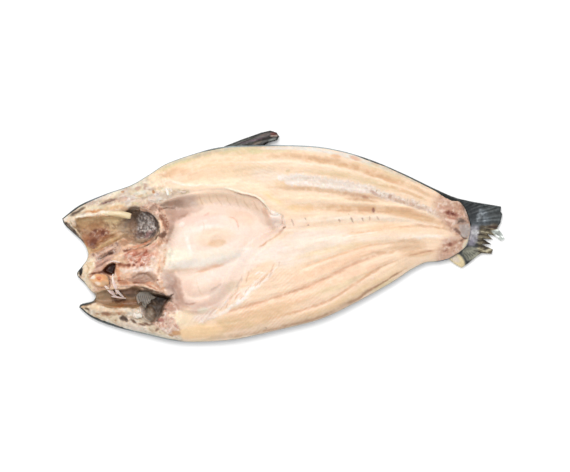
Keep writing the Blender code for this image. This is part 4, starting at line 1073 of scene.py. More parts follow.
meat.marks(
    ("a08f7f", 2.6, 156, 0.7, cave, 0.5),
    ("42301f", 2.8, 157, 0.6, cave, -0.5),
    # painted shade: the near-black at the deep right end of the lower gill pit
    ("2e1c0e", (-118, -48), 8, 5, -24, 0.92),
    ("3b2d24", (-124, -55.6), 4, 4, 0, 0.6),
    ("b3a798", (-131, -62), 5.4, 5.4, 0, 0.9, 3.0, 0.9),
    ("f0e4d8", (-137, -56.6), 2.4, 4, 0, 0.9, 3.0, 0.9),
    ("cdbba8", [(-136, -58), (-135.4, -63), (-132, -67)], 0.8, 0.7, 0.3),
    ("7a7069", (-123, -62), 3, 3, 0, 0.7),
    ("6d4a3c", [(-138, -68), (-131, -70.4), (-125, -69)], 1.3, 0.8),
    ("5f463a", [(-115, -45), (-110.6, -46), (-107.6, -47.6)], 1.4, 0.9),
)
for place, long, wide, turn in (
    ((-109.4, -44.4), 2.6, 0.8, 30), ((-109.6, -49.2), 2.4, 0.8, -24), ((-113.4, -51.4), 2.2, 0.8, -12),
    ((-117, -42.2), 2.2, 0.7, -30),
):
    meat.blotch("4a3226", place, long, wide, turn, 0.85, -0.4)
scraps = meat.zone([(-117, -50), (-109, -49), (-103, -57), (-101, -66), (-104, -80), (-112, -82), (-123, -74),
    (-128, -69), (-119, -60)], 4)
meat.blotch("f7e6c8", (-97, -66), 8, 9, 0, 0.85, 0.2, 1.2)
meat.lay("e4c8b6", 0.9 * scraps)
meat.marks(
    ("f9ece2", 3.8, 158, 0.9, scraps, 0.7),
    ("b98676", 2.8, 159, 0.5, scraps, -0.5, 0.15),
    ("9a6058", 1.8, 160, 0.45, scraps * ease((-108 - x) / 6), -0.5, 0.4),
    ("fdeccf", (-103, -66), 4.0, 6.4, 8, 0.85, 0.5),
    ("fbe3c6", (-101, -74), 3, 3.4, 0, 0.8, 0.3),
    ("fde9d0", (-110, -63), 2.6, 2.0, 0, 0.75, 0.4),
    ("a4665c", (-121, -67), 2.6, 2.0, 30, 0.75, -0.4),
    ("b98c78", [(-108, -48), (-104, -54), (-103, -59)], 1.7, 0.7),
    ("b58a76", (-111, -55), 6.5, 3.4, -30, 0.75),
)
for root, tip in (
    ((-119, -52), (-113.6, -50)), ((-119, -57), (-114, -56.6)), ((-121, -62), (-117, -62.6)),
    ((-125, -67), (-121, -69.4)),
):
    bend = ((root[0] + tip[0]) / 2, (root[1] + tip[1]) / 2 + 0.5)
    meat.streak("5f4436", [root, bend, tip], 1.2, 0.75, -0.4)
meat.marks(
    ("d5a471", (-107, -80), 4.2, 2.2, -15, 0.75),
    ("ab8159", (-112, -82), 2.6, 1.2, -20, 0.7),
)

# the lips of the two jaws: dark hide, a cream band and brown tooth pads, side by side
meat.marks(
    ("e6dcc6", [(-206, 35), (-200, 28), (-193, 18), (-189, 8)], 3.4, 0.9, 1.0),
    ("f1e6d0", (-197.4, 32.4), 3.4, 4.4, 20, 0.9, 0.8),
    ("45352a", [(-205.8, 34), (-200, 27), (-194, 18.6), (-189, 12)], 2.1, 0.97, -0.5, 0.1),
    ("45352a", [(-204.6, 33.6), (-199, 26.8), (-194, 20)], 1.2, 0.9, -0.2),
    ("ded1b8", [(-201.6, 34), (-196.6, 27.4), (-191.4, 19.6)], 0.8, 0.9, 0.3),
    ("8b6b4c", [(-200.6, 34), (-196, 28), (-191, 20.4)], 0.8, 0.85, -0.3),
    ("5d4330", [(-194.4, 34), (-193.6, 28), (-191, 21.6)], 1.0, 0.4, -0.6),
    ("efdcc6", (-196, 30.5), 1.6, 3, 20, 0.8),
    ("3f3025", [(-197.6, -47.2), (-190, -45.2), (-183, -44)], 2.3, 0.9),
    ("b89a78", [(-196, -49.6), (-190, -48), (-184, -47)], 0.8, 0.7),
    ("5a4838", [(-196, -47.6), (-190, -46.4), (-182.6, -45.4)], 1.3, 0.9, 0, 0),
)

# the end of the flesh at the tail: pink muscle, a blood gash, a grey scrap of membrane and a pale hem
stump = meat.zone([(153, 34), (167, 28), (177, 18), (182, 0), (179, -12), (171, -25), (148, -33), (147, -22),
    (156, -12), (166, -9), (158, 0), (150, 12), (147, 24)], 9)
meat.lay("cfac96", 0.85 * stump)
meat.marks(
    ("5d4e4c", [(171, 22.6), (175.6, 15), (178.4, 6), (179, 0)], 1.5, 0.75),
    ("f2dfd2", 3.2, 171, 0.7, stump, 0.4),
    ("b38873", 2.8, 172, 0.55, stump, -0.4, 0.1),
    ("94604f", 1.8, 173, 0.5, stump * ease((x - 152) / 8), -0.4, 0.5),
    ("e8cdbf", [(154, 26), (163, 25), (172, 21)], 2.2, 0.7, 0.3),
    ("cb9d8b", [(150, 18.6), (158, 18), (166, 17)], 1.6, 0.7, -0.3),
    ("8d4f3f", [(156, 14.4), (161, 13), (166, 11.4), (171, 9.4)], 2.8, 0.92, -0.9),
    ("6c3126", [(158, 14), (163, 12.4), (168.6, 10.2)], 1.3, 0.9, -0.4),
    ("b3705b", [(156, 11), (163, 8.4), (169, 6.4)], 1.6, 0.75, -0.3),
    ("f0dacd", [(155, 8.6), (162, 5.8), (168, 3.6)], 1.8, 0.8, 0.5),
    ("9c8579", (171.6, 4.4), 5, 3.4, -20, 0.8, -0.5, 1.2),
    ("5f5049", [(167.6, 2.6), (171, 5), (175.6, 4.4)], 1.5, 0.8, -0.4),
    ("6b5b52", [(169, 7.6), (173, 6.2), (177, 3)], 0.9, 0.7, -0.2),
)
meat.patch("ada5a2", [(169.4, 1), (179, 1), (179.4, -6), (176.6, -11), (172, -10), (169.4, -5)], 3, 0.92, 0.4)
meat.marks(
    ("c9c4c0", 2.4, 174, 0.6, meat.zone([(169.4, 1), (179, 1), (179.4, -6), (176, -11), (171, -9)], 3), 0.3),
    ("7d5f54", [(163.6, -0.6), (167.6, -4.4), (170.4, -9)], 2.0, 0.85, -0.7),
    ("5c4840", [(169.6, -8.2), (173.2, -11.8), (178, -12.4)], 1.0, 0.88, -0.6),
    ("eadfce", [(168, -24), (174, -20), (178, -14), (180.4, -5)], 1.6, 0.85, 0.3),
    ("eadfce", [(181, 2), (179.6, 9), (176, 18)], 1.1, 0.75, 0.2),
    ("e2c8b8", [(158, -10.4), (165, -11.6), (171, -10)], 2.2, 0.8, 0.4),
    ("ab7967", [(152, -16.4), (158, -17.2), (164, -16.4), (170, -14.4)], 1.4, 0.75, -0.4),
    ("8b5746", (159.4, -16.6), 1.9, 1.3, 0, 0.75, -0.3),
    ("8f5c4c", [(150.6, -21.6), (153, -23), (155.4, -21.8)], 0.9, 0.8, -0.4),
    ("d9b7ab", [(150, -12), (158, -13.6), (166, -12.6)], 1.5, 0.6, 0.3),
    ("e9e1c8", (174.6, -16.6), 5.4, 2.4, 62, 0.9, 0.3),
    ("d8b2a0", (158, -27), 6, 2.6, -12, 0.6, 0.2),
    ("6b4f41", [(168, -14.6), (171, -13.6), (172.8, -11.6)], 1.0, 0.8, -0.3),
)

# everywhere: fine fibres along the bundles, and the wet unevenness of cut flesh, rougher on the head
back_line, lower_line = curve_through(BACK_EDGE, 4), curve_through(LOWER_EDGE, 4)[::-1]
high = np.interp(x, back_line[:, 0], back_line[:, 1])
low = np.interp(x, lower_line[:, 0], lower_line[:, 1])
across = (y - low) / (high - low) * 150
fibres = ripple(x / 11, across, 1.7, 34) + 0.7 * ripple(x / 6, across, 0.95, 35)
muscle = ease((x + 100) / 14) * ease((166 - x) / 16) * (1 - 0.85 * brim)
meat.tint *= (1 + 0.028 * muscle * fibres)[:, None] ** np.array((0.7, 1.0, 1.35))
meat.lift += 0.07 * muscle * fibres
rough = ease((HEAD_ENDS + 6 - x) / 10)
speck = ripple(x, y, 2.4, 31) + 0.7 * ripple(x, y, 1.3, 32)
meat.tint *= (1 + (0.014 + 0.035 * rough) * speck)[:, None]
meat.tint *= (1 + 0.012 * ripple(x, y, 11, 33))[:, None]
calm = ease(depth / 4)
meat.lift += calm * (0.16 * ripple(x, y, 7, 41) + 0.10 * ripple(x, y, 3.2, 42))
meat.lift += calm * rough * (0.42 * ripple(x, y, 3.4, 43) + 0.24 * ripple(x, y, 1.7, 44))
z = z + meat.lift * calm
PEAKS_FROM, PEAK_SHARE = 23.6, 0.4
z = np.where(z > PEAKS_FROM, PEAKS_FROM + (z - PEAKS_FROM) * PEAK_SHARE, z)

# the under side of the flesh is coarse, as the skin hides it
BELOW_FLESH = 0.9
under_grid = lattice((-205, -90), (180, 104), UNDER_FINE)
under_grid = under_grid[depth_inside(under_grid[:, 0], under_grid[:, 1], flesh_ring) > 3]
under, under_faces = web(flesh_ring, under_grid)
under_depth = np.maximum(depth_inside(under[:, 0], under[:, 1], outline), 0)
under_z = under_height(under[:, 0], under_depth) + BELOW_FLESH
count, first = len(flesh_ring), len(top)
faces = top_faces + [tuple(first + i for i in face) for face in under_faces]
faces += [(i, (i + 1) % count, first + (i + 1) % count, first + i) for i in range(count)]
points = np.vstack([np.column_stack([top, z]), np.column_stack([under, under_z])])


def noise_between(nodes, links, scale, detail, spread, low, high):
    """A fine noise fixed to the piece, and the same noise spread between two values."""
    place = nodes.new("ShaderNodeTexCoord")
    noise = nodes.new("ShaderNodeTexNoise")
    noise.inputs["Scale"].default_value = scale
    noise.inputs["Detail"].default_value = detail
    links.new(place.outputs["Object"], noise.inputs["Vector"])
    between = nodes.new("ShaderNodeMapRange")
    for socket, value in zip(("From Min", "From Max", "To Min", "To Max"), (*spread, low, high)):
        between.inputs[socket].default_value = value
    links.new(noise.outputs["Fac"], between.inputs["Value"])
    return noise.outputs["Fac"], between.outputs["Result"]


def wet_tissue(name, layer, scale, detail, darkest, lightest, dimpling, dimple_height):
    """A wet material: the colours laid on the points of a mesh, speckled and dimpled by one fine noise."""
    made = bpy.data.materials.new(name)
    made.use_nodes = True
    nodes, links = made.node_tree.nodes, made.node_tree.links
    surface = nodes["Principled BSDF"]
    surface.inputs["Specular IOR Level"].default_value = 0.25
    laid = nodes.new("ShaderNodeVertexColor")
    laid.layer_name = layer
    grain, speckle = noise_between(nodes, links, scale, detail, (0.3, 0.7), darkest, lightest)
    tone = nodes.new("ShaderNodeVectorMath")
    tone.operation = "SCALE"
    links.new(laid.outputs["Color"], tone.inputs[0])
    links.new(speckle, tone.inputs["Scale"])
    dimple = nodes.new("ShaderNodeBump")
    dimple.inputs["Strength"].default_value = dimpling
    dimple.inputs["Distance"].default_value = dimple_height
    links.new(grain, dimple.inputs["Height"])
    links.new(dimple.outputs["Normal"], surface.inputs["Normal"])
    return made, nodes, links, surface, tone.outputs["Vector"]


FLESH_GAIN = (0.708, 0.664, 0.640)
raw, nodes, links, surface, tone = wet_tissue("raw_flesh_wet", "meat", 900, 3, 0.955, 1.04, 0.25, 0.0003)
even = nodes.new("ShaderNodeVectorMath")
even.operation = "MULTIPLY"
even.inputs[1].default_value = FLESH_GAIN
links.new(tone, even.inputs[0])
links.new(even.outputs["Vector"], surface.inputs["Base Color"])
_, gloss = noise_between(nodes, links, 160, 2, (0.35, 0.65), 0.30, 0.50)
links.new(gloss, surface.inputs["Roughness"])
surface.inputs["Coat Weight"].default_value = 0.1
surface.inputs["Coat Roughness"].default_value = 0.2
surface.inputs["Subsurface Weight"].default_value = 0.25
surface.inputs["Subsurface Radius"].default_value = (1.0, 0.45, 0.25)
surface.inputs["Subsurface Scale"].default_value = 0.003
flesh = mesh_piece("flesh", points, faces, raw)
paint(flesh, "meat", np.vstack([meat.tint, np.tile(shade("e8cdb4"), (len(under), 1))]))

# ---------- The skin ----------
# One thin scaleless hide wraps the underside and turns up over the rim of the flesh, to which it is grown
# fast. It is slate along the back, which lies at both outer edges, and silver down the belly in the middle.
SKIN_GAP, SKIN_UNDER_STEP, SIDE_FOOT, SIDE_TOP, LIP_FOLD = 0.45, 4.5, 0.9, 0.5, 1.1
hide, nodes, links, surface, tone = wet_tissue("wet_skin", "hide", 700, 4, 0.72, 0.98, 0.3, 0.0002)
links.new(tone, surface.inputs["Base Color"])
surface.inputs["Roughness"].default_value = 0.32

skin_grid = lattice((-206, -90), (180, 104), SKIN_UNDER_STEP)
skin_grid = skin_grid[depth_inside(skin_grid[:, 0], skin_grid[:, 1], outline) > 1.5]
hide_under, hide_faces = web(outline, skin_grid)
ux, uy = hide_under[:, 0], hide_under[:, 1]
under_depth = np.maximum(depth_inside(ux, uy, outline), 0)
drop = rim_drop(centre_x)
rows = [(outline, RIM_UNDER - drop + SIDE_FOOT), (outline, RIM_TOP - drop - SIDE_TOP)]
for away, rise in ((0.35, 0.0), (lip, 0.22), (lip + LIP_FOLD, -0.6)):
    ring = inset(outline, away)
    row_depth = np.maximum(depth_inside(ring[:, 0], ring[:, 1], outline), 0.3)
    rows.append((ring, top_height(ring[:, 0], ring[:, 1], row_depth) + rise))
inner_ring = inset(outline, lip + LIP_FOLD)
inner_grid = skin_grid[depth_inside(skin_grid[:, 0], skin_grid[:, 1], inner_ring) > 1.0]
hide_inner, inner_faces = web(inner_ring, inner_grid)
inner_depth = np.maximum(depth_inside(hide_inner[:, 0], hide_inner[:, 1], outline), 0)
points = [np.column_stack([hide_under, under_height(ux, under_depth)])]
points += [np.column_stack([ring, height]) for ring, height in rows]
points.append(np.column_stack([hide_inner, under_height(hide_inner[:, 0], inner_depth) + SKIN_GAP]))
starts = np.cumsum([0] + [len(p) for p in points])
faces = list(hide_faces)
for low, high in zip(starts[:6], starts[1:7]):
    for i in range(count):
        j = (i + 1) % count
        faces.append((low + i, low + j, high + j, high + i))
faces += [tuple(starts[6] + i for i in face) for face in inner_faces]
points = np.vstack(points)
skin = mesh_piece("skin", points, faces, hide)

x, y = points[:, 0], points[:, 1]
scales = Dresser(x, y, "c9cdc8", 1.6)
inward = depth_inside(x, y, outline)
scales.lay("8c9290", ease((24 - inward) / 16))
scales.lay("4f555a", ease((13 - inward) / 9))
scales.lay("e9e9e2", 0.8 * ease((18 - np.abs(y + 0.02 * x)) / 14) * ease((inward - 12) / 10))
for i in range(60):
    spot = (-190 + 6.1 * i, 62 * math.sin(2.4 * i + 0.7))
    scales.blotch("6f7678", spot, 5 + 2 * math.sin(i), 3.2, 31 * i, 0.25)
rim = np.zeros(len(points), bool)
rim[starts[1]:starts[6]] = True
scales.lay("59626a", 0.95 * rim)
wall = rim.copy()
rim[:starts[3]] = False
scales.lay("8f9b9a", 0.85 * rim * ease((x + 60) / 12) * ease((80 - x) / 6) * (y > 0))
scales.lay("7a827b", 0.9 * rim * ease((x + 166) / 10) * ease((-64 - x) / 10) * (y > 0))
scales.lay("46524f", 0.9 * rim * ease((x + 72) / 8) * ease((-44 - x) / 8) * (y > 0))
scales.lay("8a918b", 0.8 * rim * ease((x + 158) / 14) * ease((-106 - x) / 6) * (y < 0))
jaw_edge = ease((-150 - x) / 10) * np.where(y > 0, 0.25 + 0.75 * ease((-178 - x) / 6), 1)
scales.lay("252b28", 0.9 * wall * np.maximum(jaw_edge, ease((x - 80) / 3) * (y > 0)))
notch = ease((x + 192) / 2) * ease((-176 - x) / 3) * ease((y + 43) / 3) * ease((14 - y) / 3)
scales.lay("cbb99e", 0.85 * wall * notch)
glints = np.maximum(ease((2 - abs(x - 89)) / 1.5), ease((3 - abs(x - 105)) / 2))
scales.lay("8d9492", 0.7 * rim * (y > 0) * glints)
scales.lay("0f1311", 0.8 * wall * ease((x - 150) / 8) * ease((y + 24) / 5))
turned_up = np.maximum(wall, rim)
scales.lay("a59fa2", 0.85 * turned_up * ease((x - 170) / 3) * ease((1 - y) / 3) * ease((y + 22) / 3))
scales.lay("4a4640", 0.7 * turned_up * ease((x - 158) / 3) * ease((-21 - y) / 3))
scales.lay("c3b49a", 0.9 * rim * (y < 0) * ease((x + 112) / 14) * ease((150 - x) / 10))
leaning = points[:, 2]
clouds = 0.10 * ripple(x + 2 * leaning, y - leaning, 2.6, 51)
clouds = clouds + 0.07 * ripple(x - leaning, y + 2 * leaning, 1.4, 52)
scales.tint *= (1 + clouds)[:, None]
paint(skin, "hide", scales.tint)

# ---------- The fins ----------
# The dorsal fin is folded flat along the back edge with its tip cut off, and the tail fin was hacked short.
# Each is a web of dark skin over stiff rays, thick at its root, thin and torn at its rim.
DORSAL_PLAN = [
    (-50, 84), (-48, 93.5), (-30, 99), (-12, 103.8), (-3, 105.2), (3, 102.8), (5.2, 98.6), (3, 95.4),
    (-5, 94), (-9, 92), (-11, 84),
]
TAIL_PLAN = [
    (160, 22), (165, 29), (171, 26.3), (185, 22), (211.5, 15.5), (210.5, 11), (212, 8), (209.5, 0), (206, -5),
    (210, -10), (212.2, -16), (208, -17), (203.5, -12), (196, -9.5), (201, -15.5), (191, -13.5), (199.5, -20),
    (189, -18.5), (200.5, -25), (198.5, -29), (189, -27.5), (183, -31), (176, -36), (169, -40),
    (162.5, -35.5), (156, -29), (160, -20),
]
DORSAL_LOW, DORSAL_HIGH, TAIL_LOW, TAIL_HIGH = 4.0, 7.2, 2.4, 5.2
RAY_HEIGHT, FIN_STEP = 0.8, 0.85


def fin_sheet(name, plan, corner_step, low, high, fan, bare, rays, skin_of):
    """A flat web of skin over a fan of rays, closed round its thin rim."""
    ring = np.vstack([np.linspace(a, b, max(2, round(math.dist(a, b) / corner_step)), endpoint=False)
                      for a, b in zip(plan, [*plan[1:], plan[0]])])
    inner = lattice(ring.min(axis=0), ring.max(axis=0), FIN_STEP)
    inner = inner[depth_inside(inner[:, 0], inner[:, 1], ring) > 0.45]
    sheet, sheet_faces = web(ring, inner)
    fx, fy = sheet[:, 0], sheet[:, 1]
    inwards = np.maximum(depth_inside(fx, fy, ring), 0)
    middle, half = (low + high) / 2, (high - low) / 2
    bearing = np.degrees(np.arctan2(fy - fan[1], fx - fan[0])) + 0.5 * ripple(fx, fy, 9, 61)
    ribs = np.zeros(len(fx))
    for ray in rays:
        ribs = np.maximum(ribs, hump((bearing - ray[0]) / ray[1]) * ray[2])
    ribs *= 0.2 + 0.8 * ease((np.hypot(fx - fan[0], fy - fan[1]) - bare) / 14)
    fall = half * (0.35 + 0.65 * np.sqrt(1 - (1 - np.clip(inwards / 2.2, 0, 1)) ** 2))
    fall = fall * ease(inwards / 0.3)
    wave = 0.12 * ripple(fx, fy, 3.4, 62) * ease(inwards / 1.5)
    crown = middle + fall * 0.72 + RAY_HEIGHT * ribs * ease(inwards / 1.2) + wave
    crown[:len(ring)] = middle
    points, faces, kept = two_sided(sheet, sheet_faces, len(ring), crown, middle - fall)
    tints = skin_of(fx, fy, ribs, inwards)
    return mesh_piece(name, points, faces, hide), np.vstack([tints, tints[kept] * 0.9])


def dorsal_colours(fx, fy, ribs, inwards):
    fin = Dresser(fx, fy, "35302c", 0.5)
    fin.marks(
        ("50544e", (-37, 94.6), 8, 2.6, 17, 0.8),
        ("8d938c", (-33, 92), 8, 1.1, -4, 0.75),
        ("7f8279", 2.4, 185, 0.6, ease((-10 - fx) / 14), 0, -0.1, 12, 2.4),
        ("6a4f5c", [(-36, 95), (-22, 96.6), (-10, 99.4)], 1.2, 0.85),
        ("70493f", [(-16, 99.4), (-10, 101), (-3, 102.4)], 1.5, 0.75),
        ("62615a", [(-28, 97.6), (-16, 99.6), (-6, 101)], 0.6, 0.75),
        ("67656a", [(-24, 95), (-16, 96.6), (-8, 98.6)], 0.5, 0.7),
        ("33222a", [(-17, 97), (-11, 98.4), (-4, 99.2)], 1.2, 0.8),
        ("6f4a55", [(-24, 96), (-15, 97.4), (-9, 98.6)], 0.6, 0.8),
        ("735941", [(-22, 92.6), (-17, 93.4), (-11, 95.4)], 1.5, 0.85),
        ("1c1817", [(-16, 91.4), (-10.6, 93), (-6.4, 95.8), (-3, 98)], 1.2, 0.85),
        ("151a16", [(-47, 94), (-30, 98.8), (-12, 103.4), (-4, 104.8)], 1.0, 0.95),
        ("5e1808", (-0.4, 102), 3.0, 1.3, -6, 0.95),
        ("cbaea1", (0.2, 99.8), 3.6, 1.0, 0, 0.9),
        ("1a1f1e", [(-6, 97.4), (0, 98.2), (5, 98.2)], 0.8, 0.95),
        ("a3aba5", [(-7, 95.2), (-1, 95.8), (3.4, 96.4)], 1.1, 0.9),
    )
    fin.tint *= (0.73 + 0.1 * ribs + 0.2 * ripple(fx, fy, 1.3, 63))[:, None]
    return fin.tint


def tail_colours(fx, fy, ribs, inwards):
    fin = Dresser(fx, fy, "3d4142", 0.6)
    fin.patch("22282a", [(158, 36), (172, 32), (212, 20), (212, 15), (190, 16), (176, 14), (160, 16)], 4, 0.9)
    fin.patch("5f666c", [(183, 14), (192, 15), (198, 10), (198, -1), (184, -2), (180, 4)], 5, 0.85)
    cloud = ease((1.2 - np.hypot((fx - 191) / 7, (fy - 8) / 9)) / 0.5)
    fin.marks(
        ("aab1b7", 2.4, 181, 0.7, cloud, 0, 0.05, 35, 1.8),
        ("2c3033", 3.0, 182, 0.5, ease((200 - fx) / 12) * ease((fy + 4) / 6), 0, 0.1),
    )
    fin.patch("a9a5ad", [(179, -1), (187, -1), (189, -9), (186, -17), (178, -20), (176, -14)], 4, 0.9)
    fin.marks(
        ("8a8494", (180, -17), 4, 3.4, -40, 0.7),
        ("c9c9c8", (184, -7), 4, 2.4, -20, 0.75),
    )
    fin.patch("aaa894", [(171, -21), (179, -21), (190, -24), (190, -30), (178, -34), (172, -29)], 3, 0.85)
    fin.patch("6d6048", [(190, -2), (207, -3), (204, -30), (188, -30), (187, -14)], 3, 0.85)
    fin.marks(
        ("35271d", 2.4, 183, 0.85, ease((fx - 188) / 5) * ease((1 - fy) / 4), 0, 0.05, -20, 3.0),
        ("3b2a20", [(196, -3), (202, -3.6), (207, -5)], 1.3, 0.9),
    )
    fin.patch("ffe9b8", [(155, -27), (166, -25), (172, -33), (172, -42), (160, -38)], 2.4, 0.95)
    fin.blotch("f3e2d0", (164, -31), 4.4, 3.2, -40, 0.85)
    for i in range(5):
        root, tip = (170.5 + 2 * i, -25.5 + 0.2 * i), (174.4 + 2.4 * i, -34.6 + 1.4 * i)
        fin.streak("33362f", [root, (172.6 + 2.2 * i, -30 + 0.7 * i), tip], 0.5, 0.75)
    for i in range(9):
        lean = -0.2 - 0.045 * i
        root, long = np.array((186.5 - 0.5 * i, -3.4 - 2.6 * i)), 15 - 0.5 * i
        middle, tip = root + (long / 2, lean * long / 2 + 0.4), root + (long, lean * long)
        fin.streak("c9bfa2" if i % 2 else "1f1811", [root, middle, tip], 0.8, 0.9)
    fin.marks(
        ("e6dcbb", [(189, -26.4), (195, -25.6), (199.6, -25.8)], 1.5, 0.9),
        ("b9ad8a", [(186, -22.4), (192, -24)], 1.2, 0.7),
        ("2c3033", (184.5, 13), 4.6, 7, 0, 0.8),
    )
    fin.patch("cfd6d0", [(200, -7), (208, -6), (213, -12), (213, -18), (207, -17.5), (203, -12)], 1.8, 0.95)
    fin.marks(
        ("5c605b", [(203, -9), (207, -12.6), (210.6, -16)], 0.5, 0.85),
        ("8d9392", [(176, 24), (192, 19.6), (210, 14.6)], 0.5, 0.45),
        # painted light: a pale strip along the flesh's edge offsets the shade beside it
        ("bcb6ba", [(180.6, -1), (180.4, -8), (178.4, -14), (175, -19)], 1.7, 0.85),
    )
    calm = ease((np.hypot(fx - 164, fy + 34) - 7) / 3)
    relief = (0.14 + 0.4 * ease((fx - 190) / 10)) * ribs + 0.16 * ripple(fx, fy, 1.7, 64)
    fin.tint *= (0.82 + calm * relief)[:, None]
    fin.tint *= (1.04 - 0.04 * calm)[:, None]
    return fin.tint


dorsal_rays = [(10, 5, 0.9), (16, 4, 1.0), (22, 4, 0.7)]
dorsal_fin, tints = fin_sheet(
    "dorsal_fin", DORSAL_PLAN, 0.7, DORSAL_LOW, DORSAL_HIGH, (-62, 84), 0, dorsal_rays, dorsal_colours)
paint(dorsal_fin, "hide", tints)
tail_rays = [(31 - 4.4 * i + 0.8 * math.sin(3 * i), 1.7, 0.75 + 0.25 * math.sin(2.1 * i)) for i in range(17)]
tail_fin, tints = fin_sheet(
    "tail_fin", TAIL_PLAN, 0.7, TAIL_LOW, TAIL_HIGH, (146, 2), 38, tail_rays, tail_colours
)
paint(tail_fin, "hide", tints)

# ---------- The jaw rod ----------
# A bare bone of the upper jaw, pale and greenish, was sawn across when the head was split. It lies in the
# roof of the mouth with its cut end standing over the gill pit, held by the tissue round its root.
def surface_at(path):
    """Height of the flesh at places in plan."""
    px, py = np.asarray(path, float).T
    return top_height(px, py, np.maximum(depth_inside(px, py, outline), 0.3))


def strand(name, path, widths, heights, squash=0.8, roughness=0.12, sides=14, blunt=0.35):
    """A tapering cord of tissue through places in plan, at heights that run beside them."""
    stops = np.linspace(0, 1, len(path))
    run = curve_through(path, 0.7)
    share = np.linspace(0, 1, len(run))
    width = np.interp(share, stops, widths) / 2
    level = np.interp(share, stops, heights)
    level = np.convolve(np.pad(level, 4, "edge"), np.ones(9) / 9, "valid")
    along = np.gradient(run, axis=0)
    side = np.column_stack([along[:, 1], -along[:, 0]]) / np.linalg.norm(along, axis=1)[:, None]
    width = width * (1 - (1 - blunt) * (1 - ease(np.minimum(share, 1 - share) / 0.06)))
    turns = np.linspace(0, 2 * math.pi, sides, endpoint=False)
    points = []
    for centre, across, half, height in zip(run, side, width, level):
        swell = 1 + roughness * ripple(centre[0] + 3 * np.cos(turns), centre[1] + 3 * np.sin(turns), 2.2, 71)
        plan = centre + across * (np.cos(turns) * half * swell)[:, None]
        points.append(np.column_stack([plan, height + np.sin(turns) * half * squash * swell]))
    rings = len(points)
    points = np.vstack([*points, [*run[0], level[0]], [*run[-1], level[-1]]])
    faces = []
    for k in range(rings - 1):
        for i in range(sides):
            j = (i + 1) % sides
            faces.append((k * sides + i, k * sides + j, (k + 1) * sides + j, (k + 1) * sides + i))
    for i in range(sides):
        j = (i + 1) % sides
        faces.append((rings * sides, j, i))
        faces.append((rings * sides + 1, (rings - 1) * sides + i, (rings - 1) * sides + j))
    return mesh_piece(name, points, faces, raw), points


rod_path = [(-170, 38.4), (-163, 38), (-155, 37.2), (-147, 35.4), (-141, 33.6)]
rod_widths, rod_rises = [1.2, 3.2, 5.2, 6.0, 5.8], [18.2, 19.2, 19.6, 19.0, 18.2]
rod, points = strand("jaw_rod", rod_path, rod_widths, rod_rises, 0.62, 0.05, 18, 0.85)
bone = Dresser(points[:, 0], points[:, 1], "e9dab4", 0.4)
bone.marks(
    # painted highlight along the rod's top and painted shade along its lower side
    ("f6edd2", [(-168, 38.9), (-155, 38), (-144, 35.6)], 1.0, 0.85),
    ("cdb184", [(-160, 36), (-150, 34.4), (-142, 31.6)], 0.8, 0.8),
    ("cbb690", (-141.2, 33.4), 0.9, 2.4, -14, 0.8),
)
paint(rod, "meat", bone.tint)

# ---------- The throat knob ----------
# A smooth orange and cream lobe of fat and gristle stands at the root of the tongue, under the throat.
# Two white painted highlights on its wet surface and an orange blood spot show on it.
def blob(name, centre, radii, turn, roughness=0.05):
    """A lobed lump of tissue, made by pushing a ball about, its centre at a place and height."""
    bpy.ops.object.select_all(action="DESELECT")
    bpy.ops.mesh.primitive_ico_sphere_add(subdivisions=5, radius=1)
    made = bpy.context.object
    made.name = made.data.name = name
    co = np.empty(len(made.data.vertices) * 3)
    made.data.vertices.foreach_get("co", co)
    co = co.reshape(-1, 3)
    swell = ripple(co[:, 0] + 0.7 * co[:, 2], co[:, 1] - 0.5 * co[:, 2], 0.55, centre[0])
    co = co * (1 + roughness * swell)[:, None] * radii
    cos, sin = math.cos(math.radians(turn)), math.sin(math.radians(turn))
    turned = np.column_stack([co[:, 0] * cos - co[:, 1] * sin, co[:, 0] * sin + co[:, 1] * cos, co[:, 2]])
    points = turned + centre
    made.data.vertices.foreach_set("co", (points * MM).ravel())
    made.data.materials.append(raw)
    made.data.shade_smooth()
    made.data.update()
    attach(made, "root")
    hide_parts(FISH)
    return made, points


knob, points = blob("throat_knob", (-175.4, -25, 15.4), (8.8, 6.6, 5.6), -22, 0.14)
gristle = Dresser(points[:, 0], points[:, 1], "edc093", 0.6)
gristle.marks(
    ("e5a774", (-175, -22), 6, 3.2, -20, 0.8),
    # painted highlights: two near-white spots on the wet lobe
    ("faf0e4", (-181.4, -20.8), 3.0, 2.2, 20, 0.9),
    ("f8e9da", (-177.6, -27.4), 2.8, 1.8, 0, 0.85),
    ("c2682f", (-176, -22.4), 2.0, 1.6, 0, 0.95),
    ("dab894", (-170.6, -27.6), 3.6, 2.2, -30, 0.8),
    ("c49a74", [(-183, -25.6), (-177.6, -30), (-171, -31.6)], 1.2, 0.75),
)
gristle.tint *= (1 + 0.03 * ripple(points[:, 0], points[:, 1], 1.8, 72))[:, None]
paint(knob, "meat", gristle.tint)

